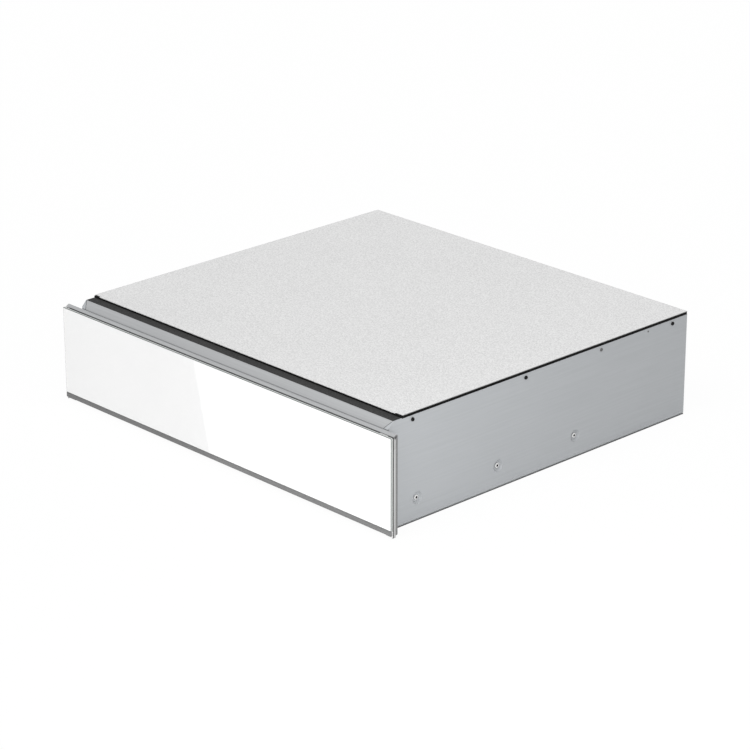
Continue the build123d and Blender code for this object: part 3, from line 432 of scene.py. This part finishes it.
# The floor sheet's side edges take a near-black tone: painted shade, the contact shadow at the foot of the
# walls.
floor_sheet = zinc_sheet.copy()
floor_sheet.name = "galvanised_floor_edge_shade"
pan_edge_shade_x = 277.8 * mm
other_tone(floor_sheet, ends, pan_edge_shade_x, 0.035)
give(floor_sheet, "base_pan")
give(zinc_sheet, "rear_panel", "heat_shield", "air_baffle", "control_plate", "striker_plate")

# %% Rails
rail_zinc = finish(
    "bright_zinc", grey_tone(0.52, -0.03), grey_tone(0.70, -0.02), rolled,
    {"across_x": 700.0, "across_y": 10.0, "across_z": 700.0}, (0.25, 0.36), 0.003 * mm, 0.85,
)
for side in ("left", "right"):
    give(rail_zinc, "rail_outer_" + side, "rail_middle_" + side, "rail_inner_" + side)
    give(zinc_sheet, "rail_bracket_" + side)

# %% Tub
tub_steel = finish(
    "brushed_tub", grey_tone(0.55), grey_tone(0.72), rolled,
    {"across_x": 16.0, "across_y": 1500.0, "across_z": 1500.0}, (0.26, 0.36), 0.002 * mm, 1.0,
)
give(tub_steel, "tub")

# %% Profiles and trim of the front
anodised = finish(
    "satin_anodised", grey_tone(0.38), grey_tone(0.46), rolled,
    {"across_x": 900.0, "across_y": 900.0, "across_z": 20.0}, (0.35, 0.45), 0.001 * mm, 0.3,
)
trim_grey = finish(
    "grey_trim", grey_tone(0.147), grey_tone(0.170), rolled,
    {"across_x": 12.0, "across_y": 900.0, "across_z": 900.0}, (0.5, 0.6), 0.001 * mm, 0.0, 0.2,
)
side_anodised = anodised.copy()
side_anodised.name = "satin_anodised_side"
profile_nose_y = -261.8 * mm
other_tone(side_anodised, ahead, profile_nose_y, 0.66)
give(side_anodised, "side_profile_left", "side_profile_right")
give(anodised, "top_profile")
give(trim_grey, "bottom_trim")

# %% Fan, motor and heater
fan_sheet = finish(
    "fan_sheet", grey_tone(0.5), grey_tone(0.66), speckle, {"scale": 300.0}, (0.35, 0.5), 0.0, 0.8,
)
motor_iron = finish(
    "motor_plates", grey_tone(0.12), grey_tone(0.32), rolled,
    {"across_x": 8.0, "across_y": 1400.0, "across_z": 8.0}, (0.5, 0.65), 0.05 * mm, 0.6,
)
heater_sheath = finish(
    "heater_sheath", (0.10, 0.085, 0.075), (0.24, 0.21, 0.18), speckle, {"scale": 260.0},
    (0.4, 0.6), 0.0, 0.7,
)
give(fan_sheet, "fan_wheel")
give(motor_iron, "fan_motor")
give(heater_sheath, "heating_element")

# %% [markdown]
# ## Rubber and plastic
#
# A seal keeps the lid quiet, a foam strip closes the slot in front of it, and the control parts are
# moulded. Moulded plastic has a fine spark-eroded grain, rubber is darker and flatter.

# %% Rubber and foam
seal_rubber = finish(
    "seal_rubber", grey_tone(0.003), grey_tone(0.008), speckle, {"scale": 800.0}, (0.6, 0.75), 0.0, 0.0, 0.05,
)
foam = finish(
    "grey_foam", grey_tone(0.028), grey_tone(0.050), speckle, {"scale": 700.0},
    (0.8, 0.95), 0.15 * mm, 0.0, 0.15,
)
mat_rubber = finish(
    "dotted_mat", grey_tone(0.022), grey_tone(0.05), dots, {"pitch": 125.0}, (0.55, 0.7), 0.6 * mm,
)
give(seal_rubber, "lid_seal")
give(foam, "front_strip")
give(mat_rubber, "tub_mat")

# %% Moulded parts
black_plastic = finish(
    "black_moulding", grey_tone(0.018), grey_tone(0.030), speckle, {"scale": 1500.0}, (0.42, 0.55), 0.02 * mm,
)
pale_plastic = finish(
    "pale_moulding", (0.66, 0.64, 0.56), (0.74, 0.72, 0.65), speckle, {"scale": 1200.0},
    (0.4, 0.5), 0.01 * mm,
)
clip_plastic = finish(
    "grey_moulding", grey_tone(0.52), grey_tone(0.60), speckle, {"scale": 1400.0}, (0.4, 0.5), 0.01 * mm,
)
give(black_plastic, "thermal_cutout", "thermostat_body", "thermostat_knob", "switch_body", "switch_rocker")
give(black_plastic, "cable_gland", "latch_housing")
give(pale_plastic, "terminal_block", "latch_plunger")
corner_plastic = finish(
    "corner_moulding", grey_tone(0.33), grey_tone(0.38), speckle, {"scale": 1400.0}, (0.4, 0.5), 0.01 * mm,
)
give(corner_plastic, "corner_clips")

# %% Screws, cages and balls
blackened = finish(
    "blackened_steel", grey_tone(0.004), grey_tone(0.010), speckle, {"scale": 900.0},
    (0.4, 0.55), 0.0, 0.0, 0.12,
)
bright_steel = finish(
    "bright_steel", grey_tone(0.62), grey_tone(0.78), speckle, {"scale": 900.0}, (0.18, 0.3), 0.0, 0.9,
)
cage_steel = finish(
    "cage_steel", grey_tone(0.34), grey_tone(0.5), speckle, {"scale": 500.0}, (0.3, 0.45), 0.0, 0.8,
)
give(bright_steel, "bracket_screws")
for side in ("left", "right"):
    give(cage_steel, "cage_outer_" + side, "cage_inner_" + side)


# %% [markdown]
# ## Tools for modelling by hand
#
# The pieces below are made the way a modeller does it with the mouse: a primitive at its size, then
# edit mode, then modifiers. Faces are picked by where they are. At the end the place of a piece is
# put into its mesh, so that it turns and slides with the solids of the frame.


# %% Helpers for pieces
def edit():
    """Enters edit mode with nothing selected and faces as the unit of selection."""
    bpy.ops.object.mode_set(mode="EDIT")
    bpy.ops.mesh.select_mode(type="FACE")
    bpy.ops.mesh.select_all(action="DESELECT")


def leave():
    """Back to object mode."""
    bpy.ops.object.mode_set(mode="OBJECT")


def pick_faces(test):
    """Selects the faces of the mesh in edit mode whose middle and normal pass the test."""
    mesh = bmesh.from_edit_mesh(bpy.context.object.data)
    for face in mesh.faces:
        face.select_set(bool(test(face.calc_center_median(), face.normal)))
    mesh.select_flush_mode()
    bmesh.update_edit_mesh(bpy.context.object.data)


def soften(width, segments=2, angle=35):
    """Rounds the edges of the piece with a bevel modifier and applies it."""
    made = bpy.context.object.modifiers.new("soft_edges", "BEVEL")
    made.width = width
    made.segments = segments
    made.limit_method = "ANGLE"
    made.angle_limit = radians(angle)
    bpy.ops.object.modifier_apply(modifier="soft_edges")


def settle(piece, name, material, body, slot, *solids):
    """Names a finished piece, puts its place into its mesh and lets it ride on a body."""
    clear_selection()
    piece.select_set(True)
    bpy.context.view_layer.objects.active = piece
    bpy.ops.object.transform_apply(location=True, rotation=True, scale=True)
    bpy.ops.object.shade_smooth_by_angle(angle=radians(38))
    piece.name = name
    if not piece.data.materials:
        piece.data.materials.append(material)
    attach(piece, body)
    if solids:
        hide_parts(*solids)
    print(name, "faces:", len(piece.data.polygons))


def copies(model, places):
    """Copies of a model at each place and turn, joined into one mesh; the model goes."""
    clear_selection()
    made = []
    for location, turn in places:
        twin = model.copy()
        twin.data = model.data.copy()
        bpy.context.collection.objects.link(twin)
        twin.location = location
        twin.rotation_euler = turn
        twin.select_set(True)
        made.append(twin)
    bpy.context.view_layer.objects.active = made[0]
    bpy.ops.object.transform_apply(location=True, rotation=True, scale=True)
    if len(made) > 1:
        bpy.ops.object.join()
    bpy.data.objects.remove(model)
    return bpy.context.object


# %% [markdown]
# ## Screws
#
# The lid is held by black pan head screws, and the rails by bright ones that sit in pressed dishes.
# A head starts as a cylinder. Its rim is bevelled round, and a star-shaped socket is pressed in by
# insetting the top, pulling in the corners between its six points and pushing the face down.


# %% One screw, at the size that is asked for
def screw_head(radius, height, material, socket_shade):
    """A pan head on Z = 0 with a six-pointed socket; the socket's finish is painted shade in the recess."""
    clear_selection()
    bpy.ops.mesh.primitive_cylinder_add(vertices=24, radius=radius, depth=height, location=(0, 0, height / 2))
    head = bpy.context.object
    bpy.ops.object.transform_apply(location=True)
    edit()
    pick_faces(lambda c, n: n.z > 0.9)
    bpy.ops.mesh.bevel(offset=0.55 * height, segments=3, affect="EDGES")
    pick_faces(lambda c, n: n.z > 0.98 and c.xy.length < 0.01 * radius)
    bpy.ops.mesh.inset(thickness=0.18 * radius)
    mesh = bmesh.from_edit_mesh(head.data)
    rim = [v for f in mesh.faces if f.select for v in f.verts]
    for vertex in rim:
        step = round(Vector((1, 0)).angle_signed(vertex.co.xy) * 12 / pi)
        if step % 4 in (1, 2, 3):
            vertex.co.xy *= 0.72 if step % 4 == 2 else 0.86
    bmesh.update_edit_mesh(head.data)
    bpy.ops.mesh.extrude_region_move(TRANSFORM_OT_translate={"value": (0, 0, -0.6 * height)})
    head.data.materials.append(material)
    head.data.materials.append(socket_shade)

    def in_socket(c, n):
        wall = abs(n.z) < 0.1 and c.z < 0.98 * height and c.xy.length < 0.64 * radius
        return wall or (n.z > 0.9 and c.z < 0.5 * height)

    pick_faces(in_socket)
    head.active_material_index = 1
    bpy.ops.object.material_slot_assign()
    leave()
    return head


# %% Lid screws
wall_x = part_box("side_panel_right")[1][0]
screw_low, screw_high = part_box("lid_screws")
screw_z = (screw_low[2] + screw_high[2]) / 2
front_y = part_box("front_glass")[0][1]
back_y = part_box("base_pan")[1][1]
lid_screw_ys = (front_y + 52.6 * mm, front_y + 239.4 * mm, back_y - 27.8 * mm)
right_turn, left_turn = (0, pi / 2, 0), (0, -pi / 2, 0)


def on_both_walls(x, ys, z):
    """Places and turns for a head on the right wall and one on the left, at each y."""
    right = [((x, y, z), right_turn) for y in ys]
    return right + [((-x, y, z), left_turn) for y in ys]


head_height = 1.8 * mm
head = screw_head(2.4 * mm, head_height, blackened, blackened)
heads = copies(head, on_both_walls(wall_x, lid_screw_ys, screw_z))
settle(heads, "lid_screw_heads", blackened, "casing", "black_screws", "lid_screws")

# %% Rail screws in their dishes
first_rail_screw, rail_screw_pitch = 60.8, 133.8
rail_screw_ys = [front_y + (first_rail_screw + rail_screw_pitch * i) * mm for i in range(3)]
dish_floor_x = wall_x - 3.0 * mm
rail_z = 28.6 * mm
# The rail screws are bright, and their sockets black: painted shade in the recess.
head = screw_head(3.4 * mm, head_height, bright_steel, blackened)
heads = copies(head, on_both_walls(dish_floor_x, rail_screw_ys, rail_z))
settle(heads, "rail_screw_heads", bright_steel, "casing", "bright_steel", "rail_screws")

# %% [markdown]
# ## Rivets
#
# Between the lid screws sits a blind rivet, and behind it a pip of half its size. The head of a
# rivet is a low dome with the dimple that the broken pin leaves: a cylinder with a wide bevel, its
# top pushed down.

# %% Rivets
rivet_radius, rivet_height = 2.2 * mm, 1.3 * mm
rivet_y, pip_y = front_y + 371.6 * mm, front_y + 457.0 * mm
pip_scale, pip_rise = (0.5, 0.5, 0.4), 1.2 * mm
clear_selection()
bpy.ops.mesh.primitive_cylinder_add(
    vertices=24, radius=rivet_radius, depth=rivet_height, location=(0, 0, rivet_height / 2),
)
rivet = bpy.context.object
bpy.ops.object.transform_apply(location=True)
edit()
pick_faces(lambda c, n: n.z > 0.9)
bpy.ops.mesh.bevel(offset=1.1 * mm, segments=4, affect="EDGES")
pick_faces(lambda c, n: n.z > 0.98 and c.xy.length < 0.01 * mm)
bpy.ops.mesh.inset(thickness=0.4 * mm)
bpy.ops.mesh.extrude_region_move(TRANSFORM_OT_translate={"value": (0, 0, -0.8 * mm)})
leave()
rivet_grey = finish(
    "rivet_grey", grey_tone(0.10), grey_tone(0.15), speckle, {"scale": 900.0}, (0.4, 0.5), 0.0, 0.3, 0.3,
)
rivet.data.materials.append(rivet_grey)
pip = rivet.copy()
pip.data = rivet.data.copy()
bpy.context.collection.objects.link(pip)
pip.scale = pip_scale
clear_selection()
pip.select_set(True)
bpy.ops.object.transform_apply(scale=True)
rivets = copies(rivet, on_both_walls(wall_x, [rivet_y], screw_z))
settle(rivets, "lid_rivet_heads", rivet_grey, "casing", "bright_steel", "lid_rivets")
pips = copies(pip, on_both_walls(wall_x, [pip_y], screw_z + pip_rise))
settle(pips, "lid_pips", rivet_grey, "casing", "bright_steel")

# %% [markdown]
# ## The glass front
#
# The front is clear glass with white paint on its back. From in front it looks like a deep, even
# white; its ground edges look grey-green, because there one sees into the glass. A box with rounded
# edges does, with one finish for its faces, one for its edges and a near-black one for the rounding
# between them, which is painted shade: the dark line of the gap round the glass. Its faces are
# shaded flat, or the rounding would bend what the glass mirrors.

# %% Glass finishes
white_paint = finish(
    "white_back_paint", grey_tone(0.765), grey_tone(0.78), handling, {"scale": 3.0}, (0.03, 0.06),
)
glass_edge = finish(
    "ground_glass_edge", (0.48, 0.50, 0.49), (0.56, 0.58, 0.57), speckle, {"scale": 1600.0},
    (0.3, 0.4), 0.005 * mm,
)
glass_arris_shade = finish(
    "arris_painted_shade", (0.10, 0.11, 0.107), (0.15, 0.16, 0.157), speckle, {"scale": 1600.0},
    (0.4, 0.5), 0.0, 0.0, 0.1,
)


# %% Helper for boxes
def box_between(low, high):
    """A box that fills the space between two opposite corners."""
    clear_selection()
    middle = [(a + b) / 2 for a, b in zip(low, high)]
    bpy.ops.mesh.primitive_cube_add(size=1, location=middle)
    made = bpy.context.object
    made.scale = [b - a for a, b in zip(low, high)]
    bpy.ops.object.transform_apply(scale=True)
    return made


# %% Glass
low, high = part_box("front_glass")
face_setback = 0.03 * mm
bead_depth = 0.9 * mm
glass = box_between(low, (high[0], high[1] - bead_depth, high[2]))
edit()
pick_faces(lambda c, n: n.y < -0.9)
bpy.ops.transform.translate(value=(0, face_setback, 0))
leave()
soften(0.7 * mm, 3)
for surface in (white_paint, glass_edge, glass_arris_shade):
    glass.data.materials.append(surface)
edit()
pick_faces(lambda c, n: abs(n.y) < 0.97)
glass.active_material_index = 2
bpy.ops.object.material_slot_assign()
pick_faces(lambda c, n: abs(n.y) < 0.1)
glass.active_material_index = 1
bpy.ops.object.material_slot_assign()
leave()
settle(glass, "glass_front", white_paint, "drawer", "white_glass", "front_glass")
edit()
pick_faces(lambda c, n: abs(n.y) > 0.97)
bpy.ops.mesh.faces_shade_flat()
leave()

# %% [markdown]
# ## Balls
#
# The solids have balls with few sides. Here each is a cube that is divided and pushed out to a
# sphere, which spaces its faces evenly, with no pinched poles.

# %% Balls
ball_radius = 1.75 * mm
for side in ("left", "right"):
    for row in ("outer", "inner"):
        name = f"balls_{row}_{side}"
        low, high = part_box(name)
        x = (low[0] + high[0]) / 2
        ys = [low[1] + ball_radius, (low[1] + high[1]) / 2, high[1] - ball_radius]
        zs = [low[2] + ball_radius, high[2] - ball_radius]
        clear_selection()
        bpy.ops.mesh.primitive_cube_add(size=2 * ball_radius)
        ball = bpy.context.object
        edit()
        bpy.ops.mesh.select_all(action="SELECT")
        bpy.ops.mesh.subdivide(number_cuts=5)
        bpy.ops.transform.tosphere(value=1.0)
        leave()
        reach = max(v.co.length for v in ball.data.vertices)
        ball.scale = [ball_radius / reach] * 3
        clear_selection()
        ball.select_set(True)
        bpy.ops.object.transform_apply(scale=True)
        row_of_balls = copies(ball, [((x, y, z), (0, 0, 0)) for y in ys for z in zs])
        row_of_balls.data.materials.append(bright_steel)
        settle(row_of_balls, f"steel_{name}", bright_steel, f"cage_{row}_{side}", "bright_steel", name)

# %% [markdown]
# ## Bumpers
#
# Rubber bumpers behind the front soften the push. Each is a low disc with a domed rim.

# %% Bumpers
bumper_rubber = finish(
    "bumper_rubber", grey_tone(0.015), grey_tone(0.03), speckle, {"scale": 900.0}, (0.5, 0.65),
)
low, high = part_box("front_bumpers")
depth = high[1] - low[1]
radius = 5.0 * mm
clear_selection()
bpy.ops.mesh.primitive_cylinder_add(vertices=24, radius=radius, depth=depth, location=(0, 0, depth / 2))
bumper = bpy.context.object
bpy.ops.object.transform_apply(location=True)
edit()
pick_faces(lambda c, n: n.z > 0.9)
bpy.ops.mesh.bevel(offset=0.7 * depth, segments=3, affect="EDGES")
leave()
bumper.data.materials.append(bumper_rubber)
xs = (low[0] + radius, high[0] - radius)
zs = (low[2] + radius, high[2] - radius)
places = [((x, low[1], z), (-pi / 2, 0, 0)) for x in xs for z in zs]
settle(copies(bumper, places), "rubber_bumpers", bumper_rubber, "drawer", "bumper_rubber", "front_bumpers")

# %% [markdown]
# ## Glazing bead
#
# The glass is bedded on a black bead that shows as a fine dark line behind its edge. Its deep black
# is also painted shade: it stands for the shadow in the gap round the glass and under the lip above
# it. It runs along the top and down both sides. Light clips interrupt it, two at the upper left
# corner and one near the upper right.


# %% Helper for straight strips
def strip(low, high, material):
    """A box between two corners, its edges rounded."""
    made = box_between(low, high)
    soften(0.25 * min(b - a for a, b in zip(low, high)), 2)
    made.data.materials.append(material)
    return made


def joined(pieces):
    """Joins pieces into the first of them."""
    clear_selection()
    for piece in pieces:
        piece.select_set(True)
    bpy.context.view_layer.objects.active = pieces[0]
    bpy.ops.object.join()
    return bpy.context.object


# %% Bead
bead_rubber_and_shade = finish(
    "bead_rubber_and_shade", grey_tone(0.004), grey_tone(0.010), speckle, {"scale": 900.0}, (0.5, 0.6), 0.0, 0.0, 0.1,
)
low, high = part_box("front_glass")
bead_y0, bead_y1 = high[1] - bead_depth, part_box("top_profile")[0][1] - 0.02 * mm
bead_x, bead_top = high[0] - 0.05 * mm, high[2] - 0.15 * mm
bead_inner, bead_low = bead_x - 7.0 * mm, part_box("side_profile_right")[0][2] + 0.1 * mm
foot_top, foot_width = low[2] + 0.1 * mm, 0.14 * mm
top_run_z = bead_top - 5.0 * mm
# Along the top, clip and bead take turns between these places, from the left end to the right.
changes = (-bead_x, -294.3 * mm, -291.5 * mm, -288.5 * mm, 275.7 * mm, 288.9 * mm, bead_x)
spans = list(zip(changes[:-1], changes[1:]))
clip_spans, bead_spans = spans[0::2], spans[1::2]
pieces = []
for side in (1, -1):
    x0, x1 = sorted((side * bead_inner, side * bead_x))
    pieces.append(strip((x0, bead_y0, foot_top), (x1, bead_y1, top_run_z), bead_rubber_and_shade))
    x0, x1 = sorted((side * (bead_x - foot_width), side * bead_x))
    pieces.append(strip((x0, bead_y0, bead_low), (x1, bead_y1, foot_top), bead_rubber_and_shade))
for x0, x1 in bead_spans:
    pieces.append(strip((x0, bead_y0, top_run_z), (x1, bead_y1, bead_top), bead_rubber_and_shade))
settle(joined(pieces), "glazing_bead", bead_rubber_and_shade, "drawer", "bumper_rubber")

# %% Clips in the bead
clips = []
for x0, x1 in clip_spans:
    clips.append(strip((x0, bead_y0, top_run_z), (x1, bead_y1, bead_top), clip_plastic))
settle(joined(clips), "bead_clips", clip_plastic, "drawer", "grey_plastic")

# %% [markdown]
# ## Seal and seams
#
# The black seal under the lid bulges a little over the top edges of the walls, and it is wider
# across the front. At both front corners the wall is folded in over the sloped band. Along the cut
# between the two lies a thin black strip, painted shade for the dark line of the gap.

# %% Seal
low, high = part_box("lid_seal")
wall_top = low[2]
lip_x, lip_z = wall_x + 0.3 * mm, wall_top - 0.55 * mm
seal_top = high[2] - 0.02 * mm
pieces = []
for side in (1, -1):
    x0, x1 = sorted((side * (wall_x - 0.95 * mm), side * lip_x))
    pieces.append(strip((x0, low[1] + 1.0 * mm, wall_top), (x1, high[1], seal_top), seal_rubber))
    x0, x1 = sorted((side * (wall_x + 0.02 * mm), side * lip_x))
    pieces.append(strip((x0, low[1] + 1.0 * mm, lip_z), (x1, high[1], wall_top + 0.4 * mm), seal_rubber))
bar_x, bar_y = wall_x - 0.1 * mm, low[1] + 5.0 * mm
pieces.append(strip((-bar_x, low[1], wall_top), (bar_x, bar_y, seal_top), seal_rubber))
settle(joined(pieces), "seal_bulge", seal_rubber, "casing", "black_seal", "lid_seal")

# %% Seams of the folded corners, as black strips of painted shade
knee = Vector((wall_x - 1.0 * mm, -242.4 * mm, 134.0 * mm))
nose = Vector((wall_x - 8.0 * mm, -250.1 * mm, 125.6 * mm))
slope_out = Vector((0, -8.4, 7.7)).normalized()
seam_half, seam_height, seam_lift = 0.28 * mm, 0.06 * mm, 0.5 * mm
# The strips take the seal's black finish, but stand for shade: painted shade of the gap.
shade_strips = []
for side in (1, -1):
    mirror = Vector((side, 1, 1))
    start, stop = nose * mirror, knee * mirror
    along = (stop - start).normalized()
    across = slope_out.cross(along)
    turn = Matrix((along, across, slope_out)).transposed().to_euler()
    length = (stop - start).length
    shade_strip = strip((0, -seam_half, 0), (length, seam_half, seam_height), seal_rubber)
    shade_strips.append(copies(shade_strip, [(start + slope_out * seam_lift, turn)]))
settle(joined(shade_strips), "corner_seam_shade", seal_rubber, "casing", "black_seal")

# %% [markdown]
# ## Insulation
#
# A mat of mineral wool lies between the inner ceiling and the lid. It starts as a box, gets many
# faces, and its points are then pushed about by a seeded amount, which gives the lumpy cut surface.

# %% Wool
fibres, ins, result, place = new_group("wool_fibres", scale=260.0)
long_way = noise(fibres, place, ins["scale"], 6.0, 0.75)
fibres.links.new(spread(fibres, long_way, 0.3, 0.72), result)
wool = finish(
    "mineral_wool", (0.42, 0.36, 0.22), (0.70, 0.64, 0.46), fibres, {}, (0.9, 1.0), 0.5 * mm, 0.0, 0.1,
)
low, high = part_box("insulation_mat")
inset = 1.2 * mm
mat = box_between([a + inset for a in low], [b - inset for b in high])
soften(4.0 * mm, 1)
edit()
bpy.ops.mesh.select_all(action="SELECT")
bpy.ops.mesh.subdivide(number_cuts=44)
bpy.ops.transform.vertex_random(offset=0.9 * mm, uniform=0.6, normal=0.4, seed=7)
leave()
settle(mat, "wool_mat", wool, "casing", "mineral_wool", "insulation_mat")

# %% [markdown]
# ## Controls behind the front
#
# When the drawer is pulled out, the knob, the switch and the lamp show beside the tub. Round the
# knob there is a scale of printed ticks without figures, long at both ends and short between, over
# the 270 degrees that the knob turns.

# %% Lamp
lamp_amber = finish(
    "amber_lens", (0.55, 0.10, 0.015), (0.75, 0.20, 0.03), speckle, {"scale": 700.0}, (0.12, 0.2), 0.01 * mm,
)
give(lamp_amber, "pilot_lamp")

# %% Scale round the knob
print_dark = finish("printed_scale", grey_tone(0.05), grey_tone(0.08), speckle, {"scale": 2200.0}, (0.4, 0.5))
knob_low, knob_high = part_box("thermostat_knob")
knob_x, knob_z = (knob_low[0] + knob_high[0]) / 2, (knob_low[2] + knob_high[2]) / 2
plate_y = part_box("control_plate")[0][1]
knob_travel, tick_count = 270, 11
tick_start, tick_half, print_height = 17.0 * mm, 0.3 * mm, 0.04 * mm
short_tick, long_tick = 2.0 * mm, 3.4 * mm
ticks = []
for i in range(tick_count):
    tick_end = tick_start + (long_tick if i in (0, tick_count - 1) else short_tick)
    tick = strip((-tick_half, -print_height, tick_start), (tick_half, 0.0, tick_end), print_dark)
    turn = (0, radians(-knob_travel * i / (tick_count - 1)), 0)
    ticks.append(copies(tick, [((knob_x, plate_y, knob_z), turn)]))
settle(joined(ticks), "knob_scale", print_dark, "casing", "black_plastic")

# %% Pointer: white paint in the groove of the knob
pointer_white = finish(
    "pointer_white", grey_tone(0.70), grey_tone(0.78), speckle, {"scale": 2200.0}, (0.4, 0.5),
)
face_y = knob_low[1]
low = (knob_x - 0.5 * mm, face_y + 0.25 * mm, knob_z + 0.3 * mm)
high = (knob_x + 0.5 * mm, face_y + 0.58 * mm, knob_z + 12.4 * mm)
settle(strip(low, high, pointer_white), "knob_pointer", pointer_white, "knob", "pale_plastic")
